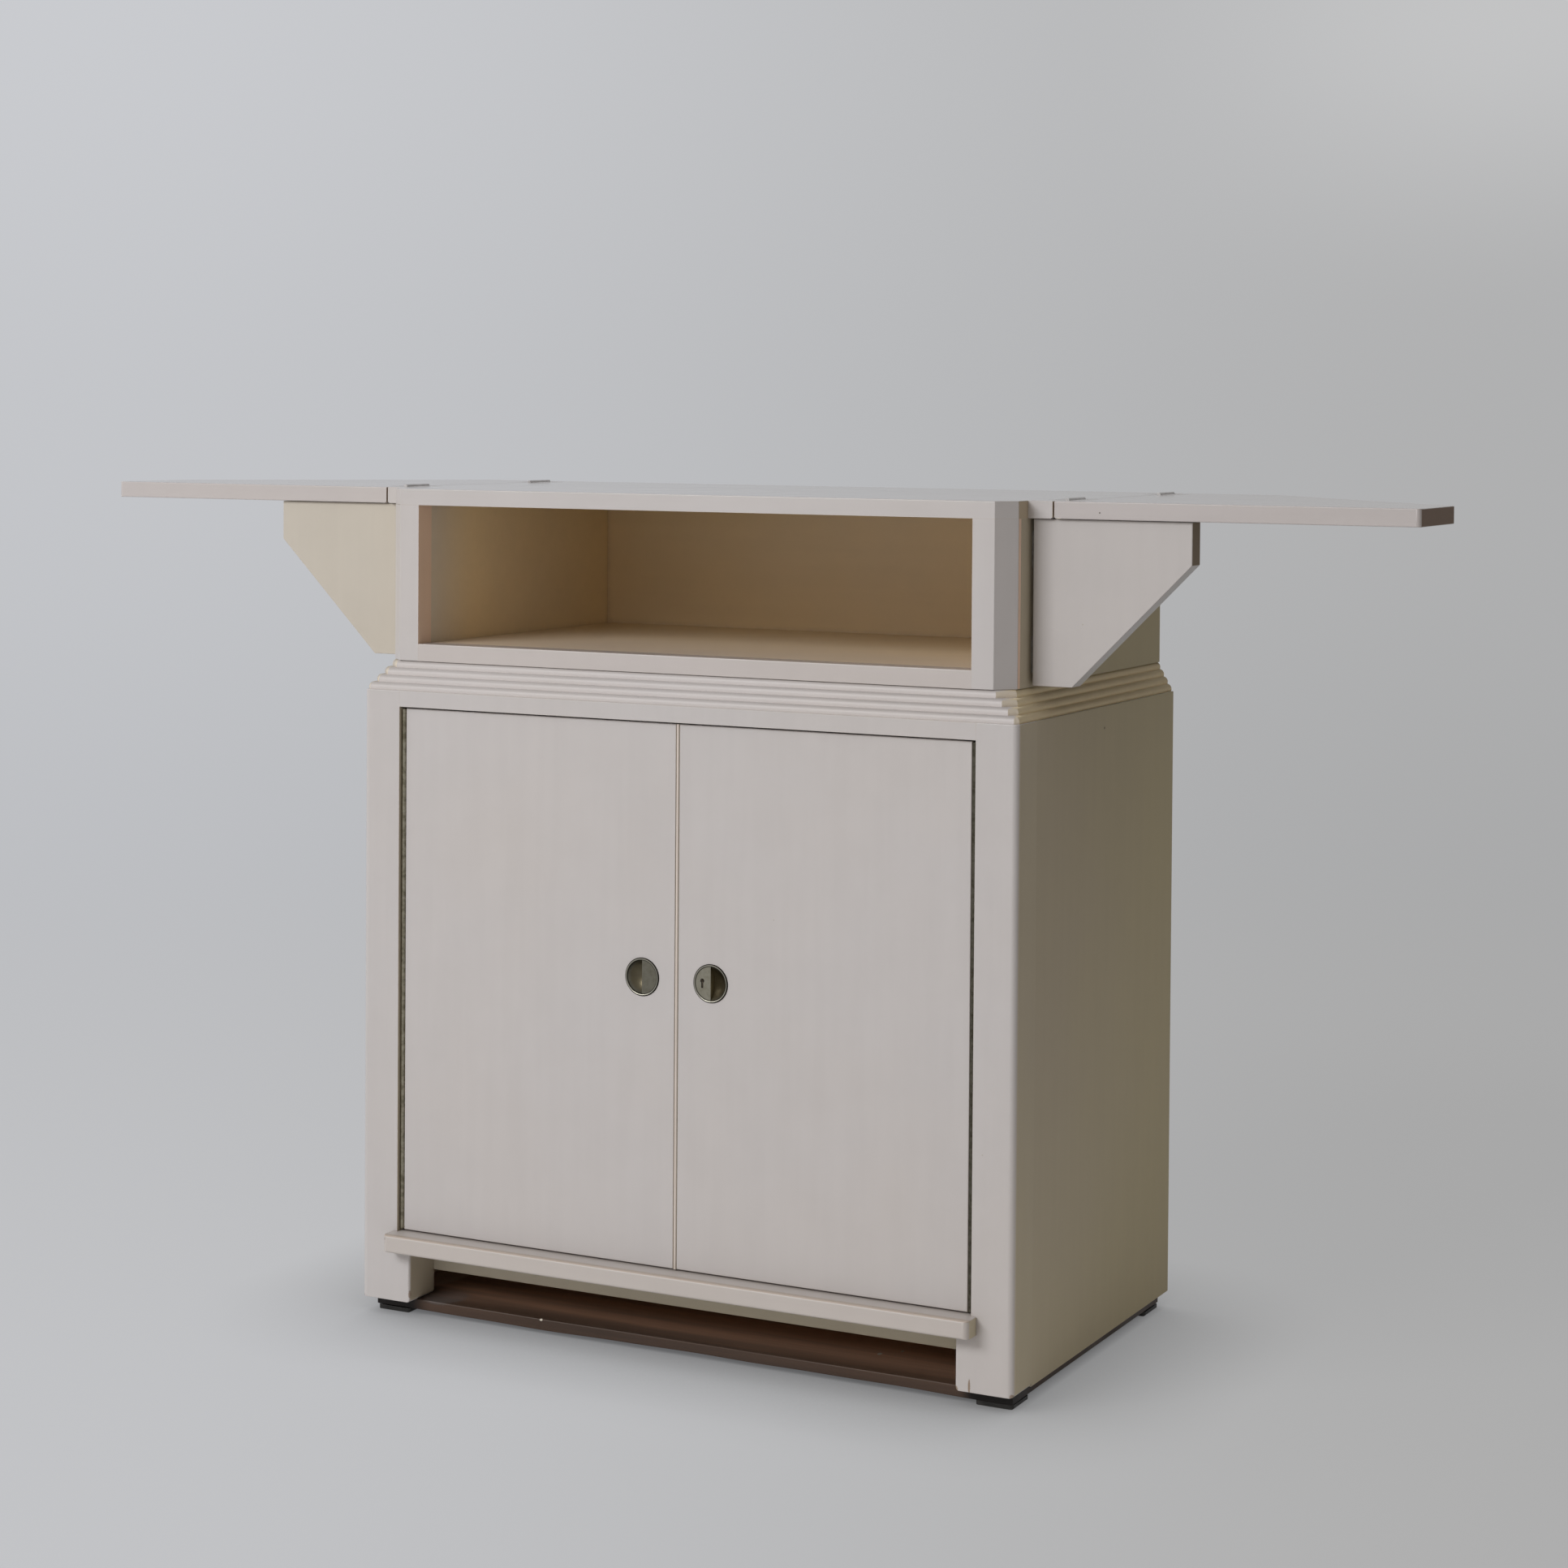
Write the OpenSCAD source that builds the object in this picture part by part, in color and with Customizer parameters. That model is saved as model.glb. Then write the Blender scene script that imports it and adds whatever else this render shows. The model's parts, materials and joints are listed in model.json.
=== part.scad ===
// Buffet cabinet: a two-door cupboard, a reeded moulding, an open niche and a leaf at each end.
// Millimetres. Z = 0 is the floor, X = 0 the middle of the width, and the front faces -Y.

/* [Lower case] */
// Width of the lower case
case_w = 850; // [720:1:1060]
// Depth of the lower case
case_d = 482; // [400:1:600]
// Thickness of the sides, floors, doors and leaves
board = 19.4; // [16:0.2:24]
// Thickness of the cupboard's back panel
back_t = 6; // [4:0.5:10]
// Width of a front post, which is also the front leg
post_w = 69; // [60:1:90]
// Depth of a front post
post_d = 52; // [46:1:70]
// Width of the post's front that shows beside a door
post_face = 50.5; // [45:0.5:54]
// Radius of the posts' outer arris
post_r = 8; // [3:0.5:10]
// Radius of the corners at the foot of a post
leg_r = 5; // [1:0.5:8]
// Height of the door opening
opening_h = 628.8; // [520:1:780]
// Height of the rail over the doors
rail_h = 19.2; // [19:0.2:30]

/* [Base] */
// Width and depth of a foot pad
pad_w = 45; // [30:1:60]
// Height of a foot pad
pad_h = 5; // [4:0.5:12]
// Thickness of the stained bottom board
base_t = 14; // [10:0.5:20]
// Distance of the bottom board's ends and back from the case's outside
base_inset = 9; // [4:0.5:20]
// Distance of the bottom board's front edge behind the case's front
base_front = 20; // [10:1:40]
// Clear height between the bottom board and the ledge
toe_h = 63.7; // [50:0.5:90]
// Height of the gap under the toe rail
toe_gap = 28.5; // [15:0.5:40]

/* [Ledge] */
// Thickness of the ledge under the doors
ledge_t = 20.8; // [19.6:0.2:30]
// How far the ledge stands out in front of the case
ledge_out = 23; // [14:0.5:40]
// How far each end of the ledge laps over the post beside it
ledge_lap = 6.5; // [2:0.5:12]
// Radius of the ledge's front corners
ledge_r = 8; // [4:0.5:12]

/* [Reeded moulding] */
// Number of reeds, one above the other
reed_count = 4; // [2:1:6]
// Height of one reed
reed_h = 8.65; // [7:0.05:12]
// How far each reed stands out past the one above
reed_step = 4.9; // [3:0.1:6]
// Radius of a reed's round
reed_r = 6.4; // [6:0.1:9]
// Distance of the lowest reed behind the lower case's face
reed_inset = 2.4; // [1:0.1:6]
// Length of the lowest reed's corner chamfer
reed_chamfer_low = 4.4; // [2:0.1:8]
// Length of the highest reed's corner chamfer
reed_chamfer_high = 17.5; // [9:0.1:22]
// Width of the rails that carry the reeds
reed_rail_w = 60; // [45:1:80]

/* [Upper case] */
// Distance of the upper case's front and sides behind those of the lower case
upper_inset = 18.2; // [16:0.1:24]
// Width of an upper stile
stile_w = 46.3; // [40:0.1:60]
// Depth of an upper stile
stile_d = 28; // [24:0.5:40]
// Length of the chamfer on the upper case's front corners
stile_chamfer = 20; // [8:0.5:22]
// Height of the sill under the niche
sill_h = 20.6; // [18:0.2:30]
// Clear height of the niche
niche_h = 165.9; // [120:1:240]
// Thickness of the niche's side linings
lining_t = 12; // [8:0.5:16]
// Thickness of the niche's back
niche_back_t = 15; // [8:0.5:20]

/* [Leaves] */
// Length of a leaf, out from the hinge
leaf_l = 409; // [300:1:425]
// Length of a leaf's straight outer end
leaf_end = 126.7; // [60:1:200]
// Width of the fixed strip between the case and a leaf
strip_w = 29; // [26:0.5:50]
// Distance of the leaves' front edge behind the lower case's front
leaf_front = 63.8; // [45:0.5:120]
// Joint between a strip and its leaf
leaf_gap = 2; // [1:0.1:4]
// Radius of a leaf's outer front corner
leaf_r = 6; // [2:0.5:20]
// Length of a leaf hinge
leaf_hinge_l = 50; // [30:1:70]

/* [Brackets] */
// Width of a bracket, out from its hinge edge
bracket_w = 184.2; // [120:1:220]
// Thickness of a bracket
bracket_t = 25; // [20:0.5:25]
// Height of a bracket's outer edge
bracket_end = 46.5; // [20:0.5:90]
// Distance of a bracket's front face behind the lower case's front
bracket_front = 69.5; // [66:0.5:200]
// Gap between a bracket's hinge edge and the case
bracket_gap = 4.4; // [3.6:0.1:6]
// Length of a bracket hinge
bracket_hinge_l = 40; // [25:1:60]

/* [Doors] */
// How far the doors stand back from the case's front
door_inset = 5; // [3:0.5:8]
// Gap between a door and the post that it hangs on
hinge_gap = 6.5; // [5.5:0.1:8]
// Gap above and below a door
door_gap = 1.8; // [1:0.1:4]
// Gap between the doors
meeting_gap = 1; // [0.8:0.1:3]
// Width of the bead on the right door's meeting edge
bead_w = 3.4; // [3:0.1:8]
// Nominal length of one hinge knuckle
knuckle_l = 25; // [12:1:40]

/* [Pulls and lock] */
// Radius of a pull's outer rim
pull_r = 22.25; // [18:0.25:30]
// Radius of a pull's finger bowl at its mouth
bowl_r = 19.2; // [15:0.1:26]
// Depth of a pull's finger bowl
bowl_depth = 10.5; // [6:0.5:12]
// Distance of a pull's centre from the meeting edge of its door
pull_in = 42.5; // [35:0.5:70]
// Height of the pulls' centres above the ledge
pull_h = 333.7; // [250:1:450]
// How far the key throws the lock's bolt
lock_throw = 14; // [10:1:18]
// How far a bolt inside the left door travels
bolt_throw = 12; // [8:1:14]

/* [Shelf] */
// Height of the shelf's top above the cupboard floor
shelf_h = 316; // [150:1:450]
// Width and height of a shelf cleat
cleat_w = 20; // [15:1:30]

/* [Hidden] */
$fn = 48;

paint = "#d9d1c5";
paint_side = "#c9bfae";
paint_inside = "#d3c19f";
stain = "#4a2a18";
pad_black = "#1d1a18";
brass_dull = "#8a8166";
steel_dull = "#77746c";

// Levels, from the floor up
leg_z = pad_h + base_t;
ledge_z = leg_z + toe_h;
opening_z = ledge_z + ledge_t;
rail_z = opening_z + opening_h;
case_top = rail_z + rail_h;
reed_top = case_top + reed_count * reed_h;
niche_z = reed_top + sill_h;
ceiling_z = niche_z + niche_h;
top_z = ceiling_z + board;

// Places across and along the depth
half = case_w / 2;
front = (ledge_out - case_d) / 2;
back = front + case_d;
inner_half = half - board;
opening_half = half - post_face;
leg_half = half - post_w;
post_back = front + post_d;
cup_back = back - back_t;
upper_half = half - upper_inset;
upper_front = front + upper_inset;
stile_back = upper_front + stile_d;
niche_half = upper_half - stile_w;
upper_inner = upper_half - board;
niche_end = back - niche_back_t;

// Arris radii
arris = 1.2;
soft_arris = 3;
pad_corner = 4;
pad_arris = 2;
// Cuts run this far past the faces that they open
past = 1;
// A reed's outermost point lies this share of its height below its top
reed_lean = 0.72;
reed_run = case_w + case_d;

// Doors
door_front = front + door_inset;
door_back = door_front + board;
stop_gap = 0.5;
rebate_d = door_inset + board + stop_gap;
door_low = opening_z + door_gap;
door_high = rail_z - door_gap;
door_outer = opening_half - hinge_gap;
meeting_x = 0;
bead_x = meeting_x + meeting_gap;
door_right_x = bead_x + bead_w;

// Hinges: play is the free space beside knuckles and in the pockets, fit the pin's running clearance
play = 0.3;
fit = 0.05;
plate_t = 1.2;
door_knuckle_r = (hinge_gap - play) / 2;
door_axis_set = 1.5;
door_bore_r = 1.25;
door_plate_reach = 16;
door_pivot_x = opening_half - hinge_gap / 2;
door_pivot_y = door_front + door_axis_set;
door_hinge_end = 1;
door_hinge_l = door_high - door_low - 2 * door_hinge_end;
door_knuckles = 2 * floor(door_hinge_l / knuckle_l / 2) + 1;

bracket_knuckle_r = bracket_gap / 2 - play;
bracket_bore_r = 0.9;
bracket_plate_reach = 20;
bracket_plate_t = 1.6;
bracket_x = upper_half + bracket_gap;
bracket_y = front + bracket_front;
bracket_pivot_x = upper_half + bracket_gap / 2;
bracket_pivot_y = bracket_y + bracket_t + bracket_knuckle_r + play;
bracket_low_gap = 2;
bracket_high_gap = 0.6;
bracket_low = reed_top + bracket_low_gap;
bracket_high = ceiling_z - bracket_high_gap;
bracket_hinge_inset = 14;
bracket_hinge_z = [bracket_low + bracket_hinge_inset, bracket_high - bracket_hinge_inset - bracket_hinge_l];

leaf_y = front + leaf_front;
leaf_knuckle_r = 2.2;
leaf_bore_r = 1;
leaf_plate_t = 1.6;
leaf_plate_reach = 24;
leaf_axis_rise = 0.25;
strip_end = upper_half + strip_w;
leaf_pivot_x = strip_end + leaf_gap / 2;
leaf_pivot_z = top_z + leaf_axis_rise;
leaf_x = strip_end + leaf_gap;
leaf_outer = leaf_x + leaf_l;
leaf_hinge_inset = 40;
leaf_hinge_y = [leaf_y + leaf_hinge_inset, back - leaf_hinge_inset - leaf_hinge_l];

// Pulls
pull_z = opening_z + pull_h;
pull_left_x = meeting_x - pull_in;
pull_right_x = door_right_x + pull_in;
rim_r = 1.4;
shell_t = 1.2;
collar_depth = 3;
pull_seat_r = pull_r - rim_r;
plate_rise = 0.5;
bowl_ball_r = (bowl_r * bowl_r + bowl_depth * bowl_depth) / (2 * bowl_depth);
bowl_ball_z = bowl_ball_r - bowl_depth;

// Lock on the back of the right door
key_x = 10.7;
key_r = 2.6;
key_slot_w = 2.8;
key_slot_l = 8.4;
lock_t = 11;
lock_h = 44;
lock_set = 4;
lock_x = door_right_x + lock_set;
lock_w = 46;
lock_wall = 3.5;
lock_bolt_t = 5;
lock_bolt_h = 14;
lock_bolt_l = 2 * lock_throw;
lock_bolt_y = door_back + lock_wall;
keeper_w = lock_throw - 1;
keeper_x = meeting_x - 2;
keeper_wall = 3;
key_play = 0.5;

// Bolts on the back of the left door
bolt_in = 34;
bolt_x = meeting_x - bolt_in;
bolt_r = 3.5;
bolt_plate_t = 2.5;
bolt_lift = 1.3;
bolt_y = door_back + bolt_plate_t + bolt_lift + bolt_r;
bolt_l = 100;
bolt_set = 1.5;
guide_l = 84;
guide_w = 24;
guide_wall = 2.8;
guide_set = 6;
staple_l = 12;
knob_neck_r = 2;
knob_neck_l = 10;
knob_r = 4.5;
knob_t = 4;

// Meeting bead
bead_rise = 0.3;

// Shelf
shelf_z = opening_z + shelf_h;
shelf_set = 10;
shelf_front = post_back + shelf_set;
shelf_play = 1;

// A shape drawn in Y and Z, drawn out along X
module along_x(from, to) {
    translate([from, 0, 0]) rotate([90, 0, 90]) linear_extrude(to - from) children();
}

// A shape drawn in X and Z, drawn out along Y
module along_y(from, to) {
    translate([0, to, 0]) rotate([90, 0, 0]) linear_extrude(to - from) children();
}

// A shape drawn in X and Y, drawn out along Z
module along_z(from, to) {
    translate([0, 0, from]) linear_extrude(to - from) children();
}

// A square-edged block between two corners
module slab(low, high) {
    translate(low) cube(high - low);
}

module mirrored() {
    mirror([1, 0, 0]) children();
}

module both_sides() {
    children();
    mirrored() children();
}

// A rectangle with its own radius at each corner, in the order
// low low, high low, high high, low high
module soft_rect(low, high, radii) {
    corners = [low, [high[0], low[1]], high, [low[0], high[1]]];
    inward = [[1, 1], [-1, 1], [-1, -1], [1, -1]];
    difference() {
        translate(low) square(high - low);
        for (i = [0:3])
            if (radii[i] > 0)
                translate(corners[i] + inward[i] * (radii[i] - past) / 2) square(radii[i] + past, center = true);
    }
    for (i = [0:3])
        if (radii[i] > 0)
            translate(corners[i] + inward[i] * radii[i]) circle(radii[i]);
}

// One leaf of a hinge about the Z axis. Its plate lies on the +X side, with its outer face at x = side,
// and runs to y = reach. It has every second knuckle, from number first.
module hinge_leaf(length, count, first, knuckle_r, bore_r, side, thick, reach) {
    pitch = length / count;
    clear_r = knuckle_r + play;
    difference() {
        union() {
            slab([side - thick, clear_r, 0], [side, reach, length]);
            for (i = [first:2:count - 1])
                translate([0, 0, i * pitch]) {
                    translate([0, 0, play / 2]) cylinder(r = knuckle_r, h = pitch - play);
                    slab([side - thick, 0, play / 2], [side, clear_r + 1, pitch - play / 2]);
                }
        }
        translate([0, 0, -past]) cylinder(r = bore_r, h = length + 2 * past);
    }
}

// Foot pads at the four corners of the bottom board
module feet() {
    pad_x = half - base_inset - play - pad_w;
    color(pad_black)
        both_sides()
            for (y = [front + base_front + pad_arris, back - base_inset - pad_w])
                intersection() {
                    along_z(0, pad_h)
                        soft_rect([pad_x, y], [pad_x + pad_w, y + pad_w],
                                  [pad_corner, pad_corner, pad_corner, pad_corner]);
                    along_y(y - past, y + pad_w + past)
                        soft_rect([pad_x, 0], [pad_x + pad_w, pad_h], [pad_arris, pad_arris, 0, 0]);
                }
}

module bottom_board() {
    color(stain)
        along_x(base_inset - half, half - base_inset)
            soft_rect([front + base_front, pad_h], [back - base_inset, leg_z], [arris, 0, 0, soft_arris]);
}

// A front post is leg, door stop and case corner in one, rebated for the door
module post() {
    color(paint)
        difference() {
            intersection() {
                along_z(leg_z, case_top)
                    soft_rect([leg_half, front], [half, post_back], [soft_arris, post_r, 0, 0]);
                along_y(front - past, post_back + past)
                    soft_rect([leg_half, leg_z], [half, case_top], [leg_r, leg_r, arris, 0]);
            }
            slab([leg_half - past, front - past, ledge_z], [opening_half, front + rebate_d, rail_z + past]);
            slab([leg_half - past, front - past, rail_z], [opening_half, post_back + past, case_top + past]);
        }
}

module post_left() {
    mirrored() post();
}

module post_right() {
    post();
}

module lower_side() {
    color(paint_side)
        along_y(post_back, back)
            soft_rect([inner_half, leg_z], [half, case_top], [0, arris, arris, 0]);
}

module side_left() {
    mirrored() lower_side();
}

module side_right() {
    lower_side();
}

module cupboard_back() {
    color(paint_inside) slab([-inner_half, cup_back, leg_z], [inner_half, back, case_top]);
}

module cupboard_floor() {
    color(paint_inside) slab([-inner_half, post_back, opening_z - board], [inner_half, cup_back, opening_z]);
}

module toe_rail() {
    color(paint_side)
        slab([-inner_half, post_back, leg_z + toe_gap], [inner_half, post_back + board, opening_z - board]);
}

// The ledge under the doors: a rounded front edge that laps the posts, and a tongue between them
module ledge() {
    lap_half = opening_half + ledge_lap;
    color(paint)
        difference() {
            intersection() {
                along_z(ledge_z, opening_z) {
                    soft_rect([-lap_half, front - ledge_out], [lap_half, front], [ledge_r, ledge_r, 0, 0]);
                    translate([-opening_half, front - past]) square([2 * opening_half, rebate_d + past]);
                    translate([-leg_half, front]) square([2 * leg_half, post_d]);
                }
                along_x(-half, half)
                    soft_rect([front - ledge_out, ledge_z], [post_back, opening_z], [soft_arris, 0, 0, soft_arris]);
            }
            translate([bolt_x, bolt_y, opening_z - bolt_throw - past])
                cylinder(r = bolt_r + play, h = bolt_throw + 2 * past);
        }
}

module door_rail() {
    color(paint)
        difference() {
            slab([-opening_half, front, rail_z], [opening_half, post_back, case_top]);
            translate([bolt_x, bolt_y, rail_z - past])
                cylinder(r = bolt_r + play, h = bolt_throw + 2 * past);
        }
}

module deck() {
    color(paint_inside) slab([-inner_half, post_back, case_top - board], [inner_half, cup_back, case_top]);
}

module shelf() {
    color(paint_inside)
        along_x(shelf_play - inner_half, inner_half - shelf_play)
            soft_rect([shelf_front, shelf_z - board], [cup_back - shelf_play, shelf_z], [arris, 0, 0, arris]);
}

module shelf_cleats() {
    cleat_z = shelf_z - board;
    color(paint_inside)
        both_sides()
            along_y(shelf_front + shelf_set, cup_back - shelf_set)
                polygon([
                    [inner_half, cleat_z],
                    [inner_half - cleat_w, cleat_z],
                    [inner_half - cleat_w, cleat_z - cleat_w / 2],
                    [inner_half - cleat_w / 2, cleat_z - cleat_w],
                    [inner_half, cleat_z - cleat_w]
                ]);
}

// One reed in section, its outermost point at x = 0 and its top at z = 0
module reed_section() {
    drop = reed_lean * reed_h;
    intersection() {
        union() {
            translate([-reed_r, -drop]) circle(reed_r);
            translate([-reed_run, -reed_h]) square([reed_run - reed_r, reed_h]);
        }
        translate([-reed_run, -reed_h]) square([reed_run + past, reed_h]);
    }
}

// The reeded block: on each level the front, both sides and both corner chamfers cut the same section
module reeded_block() {
    for (i = [0:reed_count - 1]) {
        inset = reed_inset + (reed_count - 1 - i) * reed_step;
        share = i / (reed_count - 1);
        chamfer = reed_chamfer_high + (reed_chamfer_low - reed_chamfer_high) * share;
        reach = half - inset;
        corner_x = reach - chamfer / 2;
        corner_y = front + inset + chamfer / 2;
        translate([0, 0, reed_top - i * reed_h])
            intersection() {
                both_ways(reach) along_y(front - case_d, back) reed_section();
                translate([0, front + inset, 0]) rotate([0, 0, -90]) along_y(-reed_run, reed_run) reed_section();
                translate([corner_x, corner_y, 0]) rotate([0, 0, -45]) along_y(-reed_run, reed_run) reed_section();
                translate([-corner_x, corner_y, 0]) rotate([0, 0, -135]) along_y(-reed_run, reed_run) reed_section();
            }
    }
}

// What a section that faces +X and its mirror image at the other side have in common
module both_ways(reach) {
    intersection() {
        translate([reach, 0, 0]) children();
        translate([-reach, 0, 0]) mirrored() children();
    }
}

// Plan of one rail of the moulding's frame, mitred at 45 degrees at the front
module rail_plan(part) {
    in_x = half - reed_rail_w;
    in_y = front + reed_rail_w;
    far = half + past;
    near = front - past;
    back_y = back - reed_rail_w;
    if (part == "front")
        polygon([[-far, near], [far, near], [in_x, in_y], [-in_x, in_y]]);
    if (part == "side")
        polygon([[far, near], [far, back], [in_x, back], [in_x, in_y]]);
    if (part == "back")
        polygon([[-in_x, back_y], [in_x, back_y], [in_x, back], [-in_x, back]]);
}

module moulding_front() {
    color(paint)
        intersection() {
            reeded_block();
            along_z(case_top, reed_top) rail_plan("front");
        }
}

module moulding_right() {
    color(paint_side)
        intersection() {
            reeded_block();
            along_z(case_top, reed_top) rail_plan("side");
        }
}

module moulding_left() {
    mirrored() moulding_right();
}

module moulding_back() {
    color(paint_inside) along_z(case_top, reed_top) rail_plan("back");
}

// Plan of the upper case, its front corners cut off
module upper_plan() {
    polygon([
        [stile_chamfer - upper_half, upper_front],
        [upper_half - stile_chamfer, upper_front],
        [upper_half, upper_front + stile_chamfer],
        [upper_half, back],
        [-upper_half, back],
        [-upper_half, upper_front + stile_chamfer]
    ]);
}

module stile() {
    color(paint)
        along_z(reed_top, ceiling_z)
            intersection() {
                upper_plan();
                translate([niche_half, upper_front]) square([stile_w, stile_d]);
            }
}

module stile_left() {
    mirrored() stile();
}

module stile_right() {
    stile();
}

module upper_side() {
    color(paint_side) slab([upper_inner, stile_back, reed_top], [upper_half, back, ceiling_z]);
}

module upper_side_left() {
    mirrored() upper_side();
}

module upper_side_right() {
    upper_side();
}

module niche_sill() {
    color(paint)
        along_x(-niche_half, niche_half)
            soft_rect([upper_front, reed_top], [stile_back, niche_z], [0, 0, 0, arris]);
}

module niche_floor() {
    color(paint_inside) slab([-niche_half, stile_back, reed_top], [niche_half, niche_end, niche_z]);
}

// A lining stands beside the niche floor, and its face is flush with the stile's edge
module niche_lining() {
    color(paint_inside) slab([niche_half, stile_back, reed_top], [niche_half + lining_t, niche_end, ceiling_z]);
}

module niche_lining_left() {
    mirrored() niche_lining();
}

module niche_lining_right() {
    niche_lining();
}

module niche_back() {
    color(paint_inside) slab([-upper_inner, niche_end, reed_top], [upper_inner, back, ceiling_z]);
}

module top_board() {
    color(paint)
        intersection() {
            along_z(ceiling_z, top_z) upper_plan();
            along_x(-half, half)
                soft_rect([upper_front, ceiling_z], [back, top_z], [0, 0, 0, arris]);
        }
}

// Room in a strip and its leaf for the hinges: plate pockets in the top, and a groove for the knuckles
module leaf_hinge_room() {
    for (y = leaf_hinge_y) {
        slab([leaf_pivot_x - leaf_plate_reach, y, top_z - leaf_plate_t],
             [leaf_pivot_x + leaf_plate_reach, y + leaf_hinge_l, top_z + past]);
        translate([leaf_pivot_x, y + leaf_hinge_l + play, leaf_pivot_z])
            rotate([90, 0, 0]) cylinder(r = leaf_knuckle_r + play, h = leaf_hinge_l + 2 * play);
    }
}

module leaf_strip() {
    color(paint)
        difference() {
            along_y(leaf_y, back)
                soft_rect([upper_half, ceiling_z], [strip_end, top_z], [0, soft_arris, arris, 0]);
            leaf_hinge_room();
        }
}

module leaf_strip_left() {
    mirrored() leaf_strip();
}

module leaf_strip_right() {
    leaf_strip();
}

// A leaf is full depth at its hinge and cut back at 45 degrees behind, to a narrow outer end
module leaf() {
    cut = back - leaf_y - leaf_end;
    color(paint)
        difference() {
            intersection() {
                along_z(ceiling_z, top_z)
                    intersection() {
                        soft_rect([leaf_x, leaf_y], [leaf_outer, back], [0, leaf_r, 0, 0]);
                        polygon([
                            [leaf_x, leaf_y],
                            [leaf_outer + past, leaf_y],
                            [leaf_outer + past, leaf_y + leaf_end - past],
                            [leaf_outer - cut, back],
                            [leaf_x, back]
                        ]);
                    }
                along_y(leaf_y, back)
                    soft_rect([leaf_x, ceiling_z], [leaf_outer, top_z], [soft_arris, arris, arris, arris]);
                along_x(leaf_x, leaf_outer)
                    soft_rect([leaf_y, ceiling_z], [back, top_z], [arris, 0, 0, arris]);
            }
            leaf_hinge_room();
        }
}

module leaf_left() {
    mirrored() leaf();
}

module leaf_right() {
    leaf();
}

// Both hinges of the right leaf: the plates lie flush in the top, and the pin just above it
module leaf_hinge(first) {
    for (y = leaf_hinge_y)
        translate([leaf_pivot_x, y + leaf_hinge_l, leaf_pivot_z])
            rotate([90, 90, 0])
                hinge_leaf(leaf_hinge_l, 5, first, leaf_knuckle_r, leaf_bore_r,
                           leaf_axis_rise + leaf_plate_t, leaf_plate_t, leaf_plate_reach);
}

module leaf_hinge_fixed() {
    color(brass_dull)
        both_sides()
            translate([2 * leaf_pivot_x, 0, 0]) mirrored() leaf_hinge(0);
}

module leaf_hinge_right() {
    color(brass_dull) leaf_hinge(1);
}

module leaf_hinge_left() {
    mirrored() leaf_hinge_right();
}

module leaf_hinge_pins() {
    color(brass_dull)
        both_sides()
            for (y = leaf_hinge_y)
                translate([leaf_pivot_x, y + leaf_hinge_l, leaf_pivot_z])
                    rotate([90, 0, 0]) cylinder(r = leaf_bore_r - fit, h = leaf_hinge_l);
}

// A bracket is a board with its lower outer corner cut off at 45 degrees
module bracket() {
    outer = bracket_x + bracket_w;
    cut = bracket_high - bracket_low - bracket_end;
    color(paint)
        intersection() {
            along_y(bracket_y, bracket_y + bracket_t)
                polygon([
                    [bracket_x, bracket_low],
                    [outer - cut, bracket_low],
                    [outer, bracket_low + cut],
                    [outer, bracket_high],
                    [bracket_x, bracket_high]
                ]);
            along_z(bracket_low, bracket_high)
                soft_rect([bracket_x, bracket_y], [outer, bracket_y + bracket_t], [arris, arris, arris, 0]);
        }
}

module bracket_left() {
    mirrored() bracket();
}

module bracket_right() {
    bracket();
}

// Both hinges of the right bracket: the knuckle stands behind the bracket, the plates lie in its gap
module bracket_hinge(first) {
    for (z = bracket_hinge_z)
        translate([bracket_pivot_x, bracket_pivot_y, z])
            mirror([0, 1, 0])
                hinge_leaf(bracket_hinge_l, 5, first, bracket_knuckle_r, bracket_bore_r,
                           bracket_gap / 2, bracket_plate_t, bracket_plate_reach);
}

module bracket_hinge_fixed() {
    color(brass_dull)
        both_sides()
            translate([2 * bracket_pivot_x, 0, 0]) mirrored() bracket_hinge(0);
}

module bracket_hinge_right() {
    color(brass_dull) bracket_hinge(1);
}

module bracket_hinge_left() {
    mirrored() bracket_hinge_right();
}

module bracket_hinge_pins() {
    color(brass_dull)
        both_sides()
            for (z = bracket_hinge_z)
                translate([bracket_pivot_x, bracket_pivot_y, z])
                    cylinder(r = bracket_bore_r - fit, h = bracket_hinge_l);
}

// A plain flush door between two values of x, its front arrises eased
module door_slab(from, to) {
    intersection() {
        along_z(door_low, door_high)
            soft_rect([from, door_front], [to, door_back], [arris, arris, 0, 0]);
        along_x(from, to)
            soft_rect([door_front, door_low], [door_back, door_high], [arris, 0, 0, arris]);
    }
}

// Places a pull's own frame on the door's face: its z points out of the door, its x along +X
module at_pull(x) {
    translate([x, door_front, pull_z]) rotate([90, 0, 0]) children();
}

// The pocket that a pull's collar and bowl need, with the bowl on the +X side
module pull_pocket() {
    seat = pull_seat_r + play;
    translate([0, 0, -collar_depth - play]) cylinder(r = seat, h = collar_depth + play + past);
    intersection() {
        translate([0, 0, -bowl_depth - shell_t - play]) cylinder(r = seat, h = bowl_depth + shell_t + past);
        slab([-shell_t - play, -pull_r, -board], [pull_r, pull_r, 0]);
    }
}

// The keyhole, a round hole over a straight slot, grown by a clearance
module keyhole(grow) {
    translate([-key_x, key_r]) circle(key_r + grow);
    translate([-key_x - key_slot_w / 2 - grow, key_r - key_slot_l - grow])
        square([key_slot_w + 2 * grow, key_slot_l + grow]);
}

module door_left() {
    color(paint)
        difference() {
            door_slab(-door_outer, meeting_x);
            at_pull(pull_left_x) mirrored() pull_pocket();
        }
}

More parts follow.
